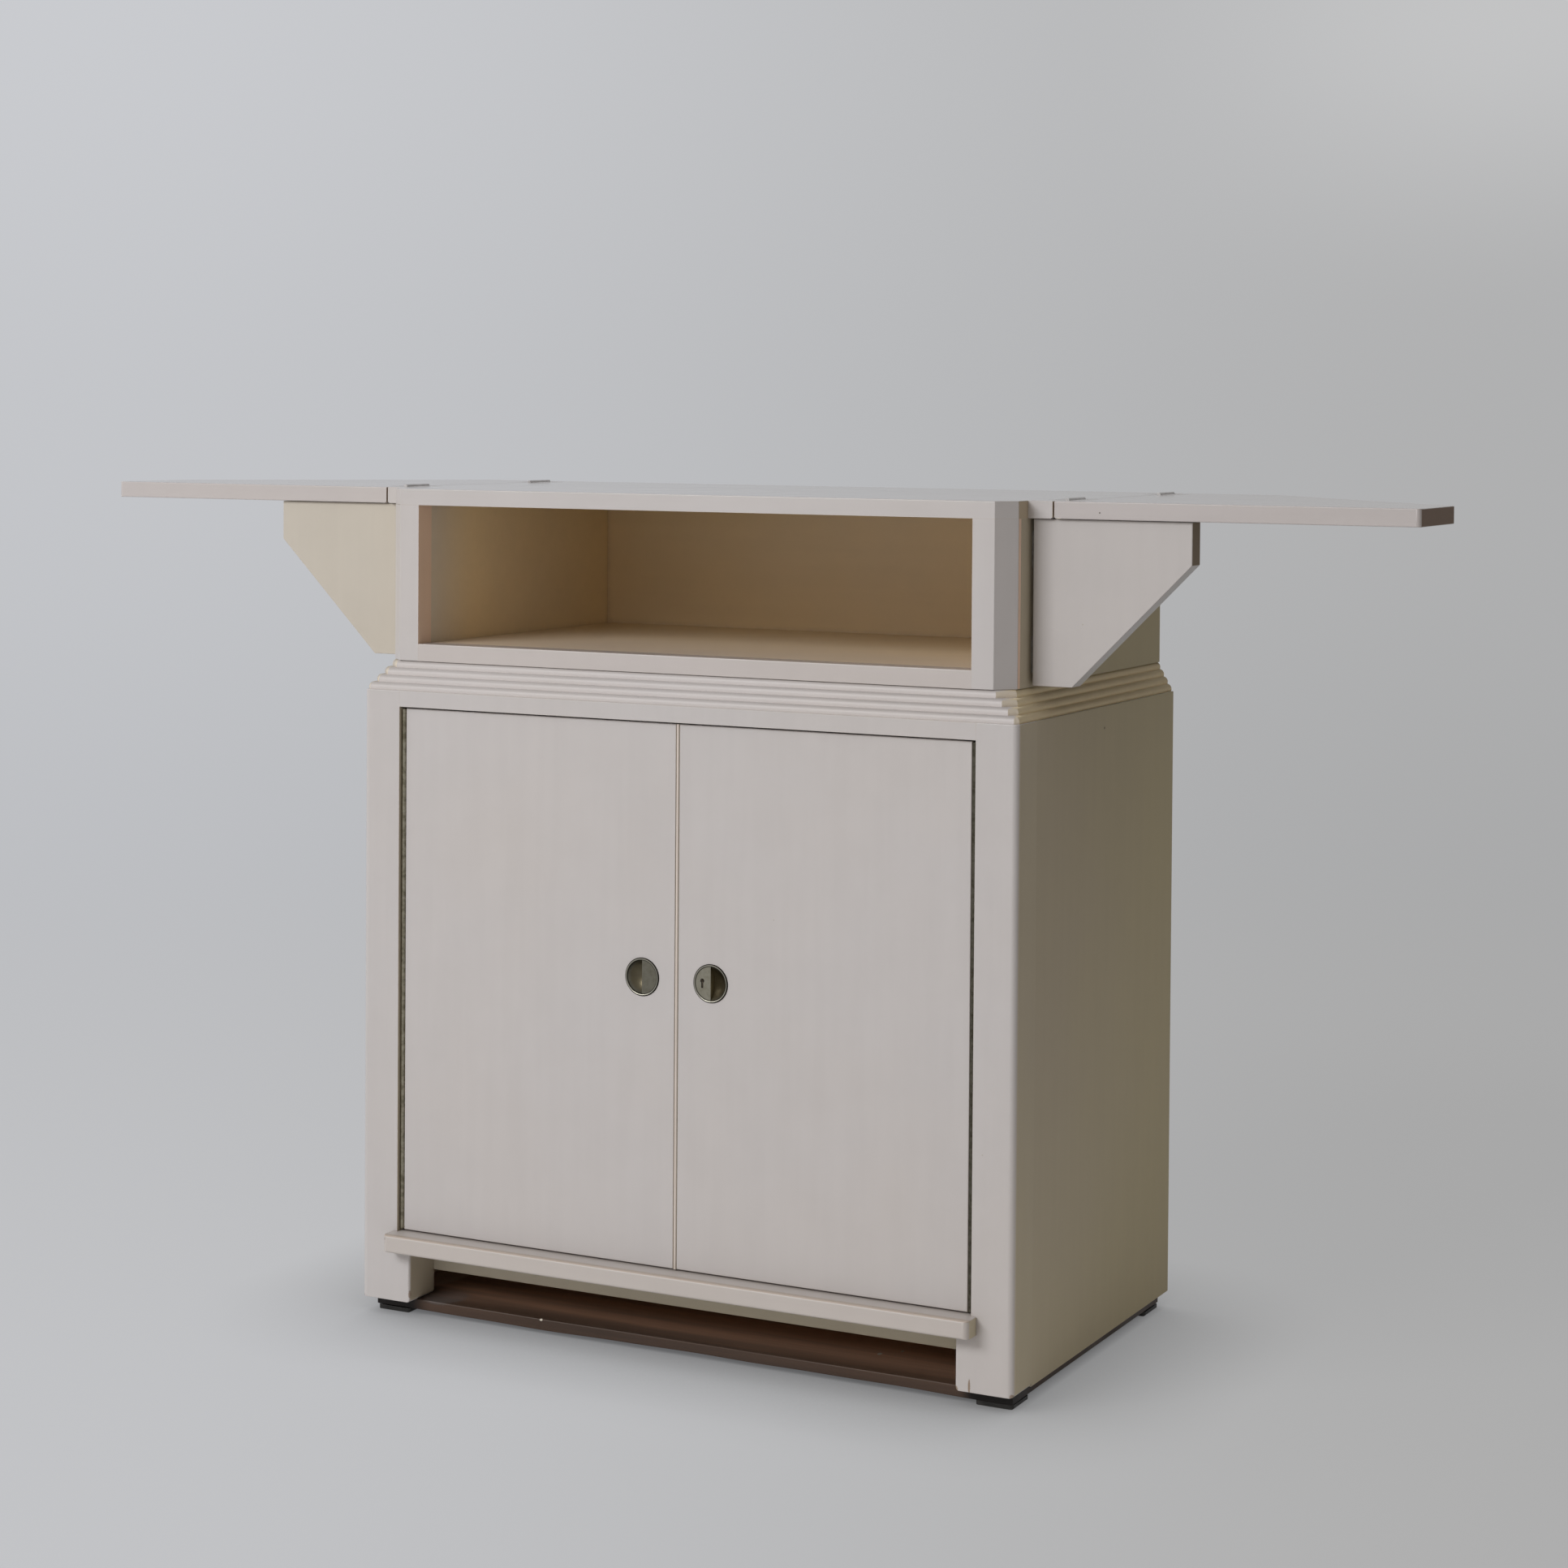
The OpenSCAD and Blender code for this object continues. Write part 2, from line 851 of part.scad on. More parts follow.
module door_right() {
    color(paint)
        difference() {
            door_slab(door_right_x, door_outer);
            at_pull(pull_right_x) {
                pull_pocket();
                translate([0, 0, -board - past]) linear_extrude(board) keyhole(key_play);
            }
        }
}

// The bead is glued to the right door's edge; its nose is half round and stands a little proud
module meeting_bead() {
    nose_r = bead_w / 2;
    color(paint)
        along_z(door_low, door_high) {
            translate([bead_x + nose_r, door_front + bead_rise]) circle(nose_r);
            translate([bead_x, door_front + bead_rise]) square([bead_w, board - bead_rise]);
        }
}

// The right door's hinge: the plate that the post carries lies on the +X side
module door_hinge(first) {
    translate([door_pivot_x, door_pivot_y, door_low + door_hinge_end])
        hinge_leaf(door_hinge_l, door_knuckles, first, door_knuckle_r, door_bore_r,
                   hinge_gap / 2, plate_t, door_plate_reach);
}

module door_hinge_fixed() {
    color(brass_dull) both_sides() door_hinge(0);
}

module door_hinge_right() {
    color(brass_dull)
        translate([2 * door_pivot_x, 0, 0]) mirrored() door_hinge(1);
}

module door_hinge_left() {
    mirrored() door_hinge_right();
}

module door_hinge_pins() {
    color(brass_dull)
        both_sides()
            translate([door_pivot_x, door_pivot_y, door_low + door_hinge_end])
                cylinder(r = door_bore_r - fit, h = door_hinge_l);
}

// A round flush pull: a raised rim, a flat plate on one half and a finger bowl on the other
module pull(has_key) {
    ball = [0, 0, bowl_ball_z];
    difference() {
        union() {
            rotate_extrude() {
                intersection() {
                    translate([pull_seat_r, 0]) circle(rim_r);
                    square(pull_r);
                }
                translate([pull_seat_r - shell_t, -collar_depth]) square([shell_t, collar_depth + rim_r / 2]);
            }
            translate([0, 0, plate_rise - shell_t]) cylinder(r = pull_seat_r - shell_t / 2, h = shell_t);
            intersection() {
                translate(ball) sphere(bowl_ball_r + shell_t);
                slab([-shell_t, -pull_r, -board], [pull_r, pull_r, 0]);
                translate([0, 0, -board]) cylinder(r = pull_seat_r - shell_t / 2, h = board);
            }
        }
        intersection() {
            translate(ball) sphere(bowl_ball_r);
            slab([0, -pull_r, -board], [pull_r, pull_r, rim_r + past]);
        }
        if (has_key)
            translate([0, 0, -board]) linear_extrude(2 * board) keyhole(0);
    }
}

module pull_left() {
    color(brass_dull) at_pull(pull_left_x) mirrored() pull(false);
}

module pull_right() {
    color(brass_dull) at_pull(pull_right_x) pull(true);
}

module lock_case() {
    low = pull_z - lock_h / 2;
    color(steel_dull)
        difference() {
            slab([lock_x, door_back, low], [lock_x + lock_w, door_back + lock_t, low + lock_h]);
            slab([lock_x - past, lock_bolt_y - play, pull_z - lock_bolt_h / 2 - play],
                 [lock_x + lock_bolt_l + play, lock_bolt_y + lock_bolt_t + play, pull_z + lock_bolt_h / 2 + play]);
            at_pull(pull_right_x)
                translate([0, 0, -board - lock_wall]) linear_extrude(lock_wall + past) keyhole(0);
        }
}

module lock_bolt() {
    color(brass_dull)
        along_y(lock_bolt_y, lock_bolt_y + lock_bolt_t)
            soft_rect([lock_x, pull_z - lock_bolt_h / 2], [lock_x + lock_bolt_l, pull_z + lock_bolt_h / 2],
                      [arris, 0, 0, arris]);
}

// The keeper on the left door's back takes the lock's bolt
module lock_keeper() {
    tall = lock_bolt_h / 2 + play + keeper_wall;
    color(steel_dull)
        difference() {
            slab([keeper_x - keeper_w, door_back, pull_z - tall], [keeper_x, door_back + lock_t, pull_z + tall]);
            slab([keeper_x - keeper_w - past, lock_bolt_y - play, pull_z - lock_bolt_h / 2 - play],
                 [keeper_x + past, lock_bolt_y + lock_bolt_t + play, pull_z + lock_bolt_h / 2 + play]);
        }
}

// The guide of one bolt: a back plate with a bored staple at each end
module bolt_guide(low) {
    staple_r = bolt_r + guide_wall;
    color(steel_dull)
        difference() {
            union() {
                slab([bolt_x - guide_w / 2, door_back, low],
                     [bolt_x + guide_w / 2, door_back + bolt_plate_t, low + guide_l]);
                for (z = [low, low + guide_l - staple_l])
                    along_z(z, z + staple_l) {
                        translate([bolt_x, bolt_y]) circle(staple_r);
                        translate([bolt_x - staple_r, door_back]) square([2 * staple_r, bolt_y - door_back]);
                    }
            }
            translate([bolt_x, bolt_y, low - past]) cylinder(r = bolt_r + fit, h = guide_l + 2 * past);
        }
}

module bolt_guides() {
    bolt_guide(door_low + guide_set);
    bolt_guide(door_high - guide_set - guide_l);
}

// A round bolt with a knob in the middle of its length
module bolt(low) {
    knob_z = low + bolt_l / 2;
    color(brass_dull) {
        translate([bolt_x, bolt_y, low]) cylinder(r = bolt_r, h = bolt_l);
        translate([bolt_x, bolt_y, knob_z]) rotate([-90, 0, 0]) {
            cylinder(r = knob_neck_r, h = knob_neck_l);
            translate([0, 0, knob_neck_l - past]) cylinder(r = knob_r, h = knob_t);
        }
    }
}

module bolt_bottom() {
    bolt(door_low + bolt_set);
}

module bolt_top() {
    bolt(door_high - bolt_set - bolt_l);
}

feet();
bottom_board();
post_left();
post_right();
side_left();
side_right();
cupboard_back();
cupboard_floor();
toe_rail();
ledge();
door_rail();
deck();
shelf();
shelf_cleats();
moulding_front();
moulding_left();
moulding_right();
moulding_back();
stile_left();
stile_right();
upper_side_left();
upper_side_right();
niche_sill();
niche_floor();
niche_lining_left();
niche_lining_right();
niche_back();
top_board();
leaf_strip_left();
leaf_strip_right();
leaf_left();
leaf_right();
leaf_hinge_fixed();
leaf_hinge_pins();
leaf_hinge_left();
leaf_hinge_right();
bracket_left();
bracket_right();
bracket_hinge_fixed();
bracket_hinge_pins();
bracket_hinge_left();
bracket_hinge_right();
door_left();
door_right();
meeting_bead();
door_hinge_fixed();
door_hinge_pins();
door_hinge_left();
door_hinge_right();
pull_left();
pull_right();
lock_case();
lock_bolt();
lock_keeper();
bolt_guides();
bolt_top();
bolt_bottom();
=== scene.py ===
import json
import math

import bmesh
import bpy
from mathutils import Matrix, Vector

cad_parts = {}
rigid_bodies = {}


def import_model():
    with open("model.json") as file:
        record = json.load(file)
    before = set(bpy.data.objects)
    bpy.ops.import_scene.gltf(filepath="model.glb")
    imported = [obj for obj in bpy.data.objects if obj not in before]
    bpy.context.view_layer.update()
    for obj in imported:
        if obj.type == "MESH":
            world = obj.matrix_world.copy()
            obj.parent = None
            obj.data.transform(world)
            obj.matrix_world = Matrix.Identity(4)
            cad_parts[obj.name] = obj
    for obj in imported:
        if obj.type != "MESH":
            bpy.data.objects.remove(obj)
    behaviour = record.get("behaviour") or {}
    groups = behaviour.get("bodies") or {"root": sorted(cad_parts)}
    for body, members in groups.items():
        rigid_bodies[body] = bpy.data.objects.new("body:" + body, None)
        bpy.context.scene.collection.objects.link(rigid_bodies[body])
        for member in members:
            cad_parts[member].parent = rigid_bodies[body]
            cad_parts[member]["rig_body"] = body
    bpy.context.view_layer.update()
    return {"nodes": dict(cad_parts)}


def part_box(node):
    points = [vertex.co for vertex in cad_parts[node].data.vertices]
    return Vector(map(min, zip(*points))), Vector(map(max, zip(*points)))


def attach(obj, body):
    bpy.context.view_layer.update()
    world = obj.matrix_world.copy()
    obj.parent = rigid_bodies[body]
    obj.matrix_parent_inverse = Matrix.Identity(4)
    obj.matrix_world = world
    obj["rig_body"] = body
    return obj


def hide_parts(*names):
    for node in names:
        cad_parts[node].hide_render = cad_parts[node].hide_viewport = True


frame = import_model()
nodes = frame["nodes"]
print("frame loaded,", len(nodes), "nodes")


# camera, in metres and radians, with the lens and the sensor in mm
photoView = {
    "place": (1.7519, -3.3876, 1.0914),
    "yaw": 0.4701,
    "pitch": 0.0211,
    "roll": 0.0071,
    "lens": 72.862,
    "sensor": 36,
    "shift": (-0.00454, -0.1969),
    "farthest": 400,
}


def makeCamera(view):
    yaw, pitch, roll = view["yaw"], view["pitch"], view["roll"]
    ahead = Vector((
        -math.sin(yaw) * math.cos(pitch),
        math.cos(yaw) * math.cos(pitch),
        -math.sin(pitch),
    ))
    level = Vector((math.cos(yaw), math.sin(yaw), 0))
    up = level.cross(ahead)
    right = math.cos(roll) * level + math.sin(roll) * up
    top = -math.sin(roll) * level + math.cos(roll) * up
    data = bpy.data.cameras.new("photoCamera")
    data.lens = view["lens"]
    data.sensor_width = view["sensor"]
    data.shift_x, data.shift_y = view["shift"]
    data.clip_end = view["farthest"]
    camera = bpy.data.objects.new("photoCamera", data)
    camera.matrix_world = Matrix.Translation(view["place"]) @ Matrix((
        (right.x, top.x, -ahead.x, 0),
        (right.y, top.y, -ahead.y, 0),
        (right.z, top.z, -ahead.z, 0),
        (0, 0, 0, 1),
    ))
    bpy.context.scene.collection.objects.link(camera)
    bpy.context.scene.camera = camera
    return level


viewRight = makeCamera(photoView)
print("camera placed")


# node tree helpers
def addNode(tree, kind, inputs=None, **settings):
    node = tree.nodes.new("ShaderNode" + kind)
    for key, value in settings.items():
        setattr(node, key, value)
    for key, value in (inputs or {}).items():
        feed(tree, node.inputs[key], value)
    return node


def feed(tree, socket, value):
    if isinstance(value, bpy.types.NodeSocket):
        tree.links.new(value, socket)
    elif socket.type == "RGBA" and len(value) == 3:
        socket.default_value = (*value, 1)
    else:
        socket.default_value = value


def calc(tree, operation, *values, clamp=False):
    node = addNode(tree, "Math", operation=operation, use_clamp=clamp)
    for socket, value in zip(node.inputs, values):
        feed(tree, socket, value)
    return node.outputs[0]


def blendColor(tree, amount, first, second):
    node = addNode(tree, "Mix", data_type="RGBA")
    for socket, value in zip((0, 6, 7), (amount, first, second)):     # its factor and its two colours
        feed(tree, node.inputs[socket], value)
    return node.outputs[2]


def scaleColor(tree, color, share):
    return addNode(tree, "VectorMath", {0: color, "Scale": share}, operation="SCALE").outputs[0]


def remap(tree, value, low, high, newLow=0.0, newHigh=1.0, smooth=True):
    node = addNode(tree, "MapRange", {0: value, 1: low, 2: high, 3: newLow, 4: newHigh})
    node.interpolation_type = "SMOOTHSTEP" if smooth else "LINEAR"
    return node.outputs[0]


def noise(tree, where, scale, detail, roughness, stretch=None):
    if stretch is not None:
        where = addNode(tree, "VectorMath", {0: where, 1: stretch}, operation="MULTIPLY").outputs[0]
    values = {"Vector": where, "Scale": scale, "Detail": detail, "Roughness": roughness}
    return addNode(tree, "TexNoise", values).outputs["Fac"]


def onObject(tree):
    return addNode(tree, "TexCoord").outputs["Object"]


def splitUp(tree, vector):
    return addNode(tree, "SeparateXYZ", {0: vector}).outputs


def makeGroup(name, inputs, outputs):
    group = bpy.data.node_groups.new(name, "ShaderNodeTree")
    kinds = {"float": "NodeSocketFloat", "color": "NodeSocketColor", "vector": "NodeSocketVector"}
    for label, kind, value in inputs:
        socket = group.interface.new_socket(name=label, in_out="INPUT", socket_type=kinds[kind])
        socket.default_value = (*value, 1) if kind == "color" else value
    for label, kind in outputs:
        group.interface.new_socket(name=label, in_out="OUTPUT", socket_type=kinds[kind])
    entry = group.nodes.new("NodeGroupInput")
    leave = group.nodes.new("NodeGroupOutput")
    return group, entry.outputs, leave.inputs


def useGroup(tree, group, values):
    node = tree.nodes.new("ShaderNodeGroup")
    node.node_tree = group
    for key, value in values.items():
        feed(tree, node.inputs[key], value)
    return node.outputs


# backdrop tone, shared by the world and the floor: a cool side and a darker side, brighter higher up
backdrop = {
    "coolSide": (0.55, 0.56, 0.585),
    "darkSide": (0.43, 0.432, 0.436),
    "sideSpan": (-0.25, 0.25),
    "gains": (0.95, 0.925, 1.0, 1.07),     # on the near floor, further back, at the horizon and above it
    "backSpan": (-0.34, -0.18),            # the slopes between which one gain gives way to the next
    "horizonSpan": (-0.16, -0.01),
    "aboveSpan": (-0.02, 0.13),
    "glow": 0.18,                          # added high up on the darker side
    "glowSide": (0.08, 0.22),
    "glowRise": (0.03, 0.12),
}


def makeBackdropTone(tones):
    group, given, result = makeGroup(
        "backdropTone",
        [("Side", "float", 0.0), ("Rise", "float", 0.0)],
        [("Color", "color")],
    )
    side, rise = given["Side"], given["Rise"]
    near, back, horizon, above = tones["gains"]
    color = blendColor(group, remap(group, side, *tones["sideSpan"]), tones["coolSide"], tones["darkSide"])
    gain = remap(group, rise, *tones["backSpan"], near, back)
    gain = calc(group, "ADD", gain, remap(group, rise, *tones["horizonSpan"], 0.0, horizon - back))
    gain = calc(group, "ADD", gain, remap(group, rise, *tones["aboveSpan"], 0.0, above - horizon))
    highUp = remap(group, rise, *tones["glowRise"], 0.0, tones["glow"])
    glow = calc(group, "MULTIPLY", remap(group, side, *tones["glowSide"]), highUp)
    gain = calc(group, "MULTIPLY", gain, calc(group, "ADD", 1.0, glow))
    group.links.new(scaleColor(group, color, gain), result["Color"])
    return group


backdropTone = makeBackdropTone(backdrop)


studio = {
    "keySize": (3.9, 2.0),
    "keyPower": 272,
    "keyColor": (1.0, 1.0, 1.0),
    "keyAngle": 25,        # degrees left of the front
    "keyRise": 30,         # degrees up
    "keyDistance": 7.0,
    "aim": (0, 0, 0.45),
    "ambientFront": (0.61, 0.53, 0.44),
    "ambientBack": (0.16, 0.135, 0.105),
    "ambientAbove": (0.5, 0.49, 0.47),
    "frontSpan": (0.3, -1.0),              # along Y, from the back's tone to the front's
    "aboveSpan": (0.45, 1.0),
    "rightDimming": (0.35, 1.0, 0.88),     # from this share of +X to that, down by this much
    "floorColor": (0.93, 0.93, 0.93),
    "floorEnd": (0.4, 0.39, 0.37),         # what the floor throws back beyond its pale sheet
    "sheetEdge": (0.8, 2.2),
    "floorRadius": 150,
    "floorSides": 96,
    "floorTone": (0.89, 1.0),              # share of the plain backdrop tone, near and far
    "floorFade": (1.5, 4.5),
    # painted contact shadow on the floor: ambient occlusion dims the backdrop tone it shows
    "shadowReach": 0.22,
    "shadowStrength": 0.25,
    "shadowSamples": 12,
}


def backdropColor(tree, way):
    side = addNode(tree, "VectorMath", {0: way, 1: viewRight}, operation="DOT_PRODUCT").outputs["Value"]
    return useGroup(tree, backdropTone, {"Side": side, "Rise": splitUp(tree, way)["Z"]})["Color"]


def seenDirectly(tree):
    path = addNode(tree, "LightPath")
    both = calc(tree, "MAXIMUM", path.outputs["Is Camera Ray"], path.outputs["Is Glossy Ray"])
    return calc(tree, "MAXIMUM", both, path.outputs["Is Transmission Ray"])


def makeWorld(setup):
    world = bpy.data.worlds.new("studioWorld")
    world.use_nodes = True
    bpy.context.scene.world = world
    tree = world.node_tree
    tree.nodes.clear()
    way = addNode(tree, "TexCoord").outputs["Generated"]
    shown = addNode(tree, "Background", {"Color": backdropColor(tree, way), "Strength": 1.0}).outputs[0]
    parts = splitUp(tree, way)
    frontness = remap(tree, parts["Y"], *setup["frontSpan"])
    color = blendColor(tree, frontness, setup["ambientBack"], setup["ambientFront"])
    color = blendColor(tree, remap(tree, parts["Z"], *setup["aboveSpan"]), color, setup["ambientAbove"])
    dimStart, dimEnd, dimBy = setup["rightDimming"]
    dimming = remap(tree, parts["X"], dimStart, dimEnd, 1.0, 1.0 - dimBy)
    ambient = addNode(tree, "Background", {"Color": color, "Strength": dimming}).outputs[0]
    mix = addNode(tree, "MixShader", {0: seenDirectly(tree), 1: ambient, 2: shown})
    out = addNode(tree, "OutputWorld")
    tree.links.new(mix.outputs[0], out.inputs["Surface"])


def makeFloor(setup):
    mesh = bpy.data.meshes.new("studioFloor")
    shape = bmesh.new()
    bmesh.ops.create_circle(shape, cap_ends=True, segments=setup["floorSides"], radius=setup["floorRadius"])
    shape.to_mesh(mesh)
    shape.free()
    floor = bpy.data.objects.new("studioFloor", mesh)
    bpy.context.scene.collection.objects.link(floor)
    material = bpy.data.materials.new("studioFloor")
    material.use_nodes = True
    tree = material.node_tree
    tree.nodes.clear()
    where = addNode(tree, "NewGeometry").outputs["Position"]
    far = addNode(tree, "VectorMath", {0: where}, operation="LENGTH").outputs["Value"]
    offset = addNode(tree, "VectorMath", {0: where, 1: photoView["place"]}, operation="SUBTRACT").outputs[0]
    way = addNode(tree, "VectorMath", {0: offset}, operation="NORMALIZE").outputs[0]
    # painted shadow: the backdrop tone shown on the floor dims where ambient occlusion finds the cabinet
    # close by
    paintedShadow = addNode(
        tree, "AmbientOcclusion", {"Distance": setup["shadowReach"]}, samples=setup["shadowSamples"],
    ).outputs["AO"]
    sheet = remap(tree, splitUp(tree, where)["X"], *setup["sheetEdge"])
    litColor = blendColor(tree, sheet, setup["floorColor"], setup["floorEnd"])
    lit = addNode(tree, "BsdfDiffuse", {"Color": litColor}).outputs[0]
    strength = remap(tree, paintedShadow, 0.0, 1.0, setup["shadowStrength"], 1.0, smooth=False)
    shown = addNode(tree, "Emission", {"Color": backdropColor(tree, way), "Strength": strength}).outputs[0]
    share = remap(tree, far, *setup["floorFade"], *setup["floorTone"])
    mix = addNode(tree, "MixShader", {0: calc(tree, "MULTIPLY", share, seenDirectly(tree)), 1: lit, 2: shown})
    out = addNode(tree, "OutputMaterial")
    tree.links.new(mix.outputs[0], out.inputs["Surface"])
    mesh.materials.append(material)


def makeKeyLight(setup):
    data = bpy.data.lights.new("softKey", "AREA")
    data.shape = "RECTANGLE"
    data.size, data.size_y = setup["keySize"]
    data.energy = setup["keyPower"]
    data.color = setup["keyColor"]
    lamp = bpy.data.objects.new("softKey", data)
    turn, rise = math.radians(setup["keyAngle"]), math.radians(setup["keyRise"])
    aim = Vector(setup["aim"])
    way = Vector((-math.sin(turn) * math.cos(rise), -math.cos(turn) * math.cos(rise), math.sin(rise)))
    lamp.location = aim + way * setup["keyDistance"]
    lamp.rotation_euler = (-way).to_track_quat("-Z", "Y").to_euler()
    bpy.context.scene.collection.objects.link(lamp)


bpy.context.scene.view_settings.view_transform = "Standard"
makeWorld(studio)
makeFloor(studio)
makeKeyLight(studio)
print("studio ready")


# effects that several materials share; a noise is given by its scale, detail and roughness
wearPattern = {
    "samples": 6,
    "match": (0.995, 0.8),                 # between plain and rounded normal, on a face and at an arris
    "patches": (38.0, 4.0, 0.65),
    "patchSpan": (0.42, 0.68),
    "openness": (0.92, 0.35),              # in the open and deep in a corner
    "dirt": (90.0, 3.0, 0.6),
    "dirtSpan": (0.2, 0.75, 0.45, 1.0),
}


def makeEdgeWear(pattern):
    group, given, result = makeGroup(
        "edgeWear",
        [("Radius", "float", 0.002), ("Reach", "float", 0.015), ("Break Up", "float", 0.6)],
        [("Edge", "float"), ("Crevice", "float")],
    )
    where, samples = onObject(group), pattern["samples"]
    plain = addNode(group, "NewGeometry").outputs["Normal"]
    rounded = addNode(group, "Bevel", {"Radius": given["Radius"]}, samples=samples).outputs[0]
    match = addNode(group, "VectorMath", {0: plain, 1: rounded}, operation="DOT_PRODUCT").outputs["Value"]
    patches = remap(group, noise(group, where, *pattern["patches"]), *pattern["patchSpan"])
    lost = calc(group, "MULTIPLY", given["Break Up"], calc(group, "SUBTRACT", 1.0, patches))
    kept = calc(group, "SUBTRACT", 1.0, lost)
    group.links.new(calc(group, "MULTIPLY", remap(group, match, *pattern["match"]), kept), result["Edge"])
    # the crevice mask is ambient occlusion broken up by noise: on paint it lays grime together with painted
    # shade in corners, joints and recesses; on metal, patina in hollows
    openness = addNode(group, "AmbientOcclusion", {"Distance": given["Reach"]}, samples=samples).outputs["AO"]
    dirt = remap(group, noise(group, where, *pattern["dirt"]), *pattern["dirtSpan"])
    crevice = calc(group, "MULTIPLY", remap(group, openness, *pattern["openness"]), dirt)
    group.links.new(crevice, result["Crevice"])
    return group


markPattern = {
    "ragged": (650.0, 3.0, 0.6),
    "rim": (1.0, 0.7),                     # where a mark begins and where it is full, as shares of its size
}


def makeLocalMark(pattern):
    group, given, result = makeGroup(
        "localMark",
        [
            ("Place", "vector", (0, 0, 0)), ("Size", "vector", (0.002, 0.002, 0.002)),
            ("Ragged", "float", 0.6),
        ],
        [("Mask", "float")],
    )
    where = onObject(group)
    offset = addNode(group, "VectorMath", {0: where, 1: given["Place"]}, operation="SUBTRACT").outputs[0]
    scaled = addNode(group, "VectorMath", {0: offset, 1: given["Size"]}, operation="DIVIDE").outputs[0]
    far = addNode(group, "VectorMath", {0: scaled}, operation="LENGTH").outputs["Value"]
    uneven = calc(group, "SUBTRACT", noise(group, where, *pattern["ragged"]), 0.5)
    far = calc(group, "ADD", far, calc(group, "MULTIPLY", uneven, given["Ragged"]))
    group.links.new(remap(group, far, *pattern["rim"]), result["Mask"])
    return group


paintPattern = {
    "clouds": (3.2, 3.0, 0.55),
    "cloudYellowing": 0.9,
    "patches": (17.0, 4.0, 0.6),
    "patchShade": (0.25, 0.75, -0.012, 0.012),
    "patchGloss": (0.2, 0.8, -0.012, 0.015),
    "streaks": (70.0, 3.0, 0.5),
    "streakShade": (0.3, 0.7, -0.01, 0.01),
    "streakHeight": 0.6,
    "peel": (420.0, 2.0, 0.5),
    "peelHeight": 0.25,
    "fleckScale": 23.0,
    "fleckRarity": 0.8,
    "fleckSize": (0.028, 0.012),
    "fleckShare": 0.35,
    "creviceDulling": 0.25,
    "edgePolish": 0.4,                     # handled arrises are polished
    "edgeDepth": 0.5,
}


def makeAgedPaint(pattern):
    group, given, result = makeGroup(
        "agedPaint",
        [
            ("Paint", "color", (0.56, 0.53, 0.495)), ("Yellowed", "color", (0.56, 0.50, 0.40)),
            ("Worn", "color", (0.42, 0.34, 0.25)), ("Grime And Painted Shading", "color", (0.2, 0.16, 0.11)),
            ("Yellowing", "float", 0.2), ("Edge", "float", 0.0), ("Crevice", "float", 0.0),
            ("Gloss Loss", "float", 0.34), ("Brush Direction", "vector", (1, 1, 0.06)),
        ],
        [("Color", "color"), ("Roughness", "float"), ("Height", "float")],
    )
    where = onObject(group)
    clouds = noise(group, where, *pattern["clouds"])
    patches = noise(group, where, *pattern["patches"])
    streaks = noise(group, where, *pattern["streaks"], stretch=given["Brush Direction"])
    peel = noise(group, where, *pattern["peel"])
    drift = calc(group, "MULTIPLY", calc(group, "SUBTRACT", clouds, 0.5), pattern["cloudYellowing"])
    amount = calc(group, "ADD", given["Yellowing"], drift, clamp=True)
    color = blendColor(group, amount, given["Paint"], given["Yellowed"])
    patchShade = remap(group, patches, *pattern["patchShade"])
    shade = calc(group, "ADD", patchShade, remap(group, streaks, *pattern["streakShade"]))
    color = scaleColor(group, color, calc(group, "ADD", 1.0, shade))
    dots = addNode(group, "TexVoronoi", {"Vector": where, "Scale": pattern["fleckScale"]}).outputs
    draw = addNode(group, "SeparateColor", {0: dots["Color"]}).outputs[0]
    chosen = calc(group, "GREATER_THAN", draw, pattern["fleckRarity"])
    fleck = calc(group, "MULTIPLY", remap(group, dots["Distance"], *pattern["fleckSize"]), chosen)
    fleck = calc(group, "MULTIPLY", fleck, pattern["fleckShare"])
    color = blendColor(group, fleck, color, given["Grime And Painted Shading"])
    color = blendColor(group, given["Edge"], color, given["Worn"])
    # crevices: grime and painted shade
    color = blendColor(group, given["Crevice"], color, given["Grime And Painted Shading"])
    group.links.new(color, result["Color"])
    dulling = calc(group, "MULTIPLY", given["Crevice"], pattern["creviceDulling"])
    uneven = calc(group, "ADD", remap(group, patches, *pattern["patchGloss"]), dulling)
    uneven = calc(group, "SUBTRACT", uneven, calc(group, "MULTIPLY", given["Edge"], pattern["edgePolish"]))
    group.links.new(calc(group, "ADD", given["Gloss Loss"], uneven, clamp=True), result["Roughness"])
    strokes = calc(group, "MULTIPLY", streaks, pattern["streakHeight"])
    height = calc(group, "ADD", strokes, calc(group, "MULTIPLY", peel, pattern["peelHeight"]))
    height = calc(group, "SUBTRACT", height, calc(group, "MULTIPLY", given["Edge"], pattern["edgeDepth"]))
    group.links.new(height, result["Height"])
    return group


stainPattern = {
    "bands": (30.0, 4.0, 0.6, (0.05, 1, 1)),           # these noises are stretched along the grain
    "bandSpan": (0.3, 0.7),
    "bandHeight": 0.5,
    "fibres": (420.0, 3.0, 0.6, (0.012, 1, 1)),
    "fibreSpan": (0.52, 0.8),
    "fibreHeight": 0.7,
    "patches": (9.0, 3.0, 0.6, (0.3, 1, 1)),
    "patchSpan": (0.35, 0.7),
    "patchGloss": (0.3, 0.7, 0.42, 0.62),
    "edgeShare": 0.8,
}


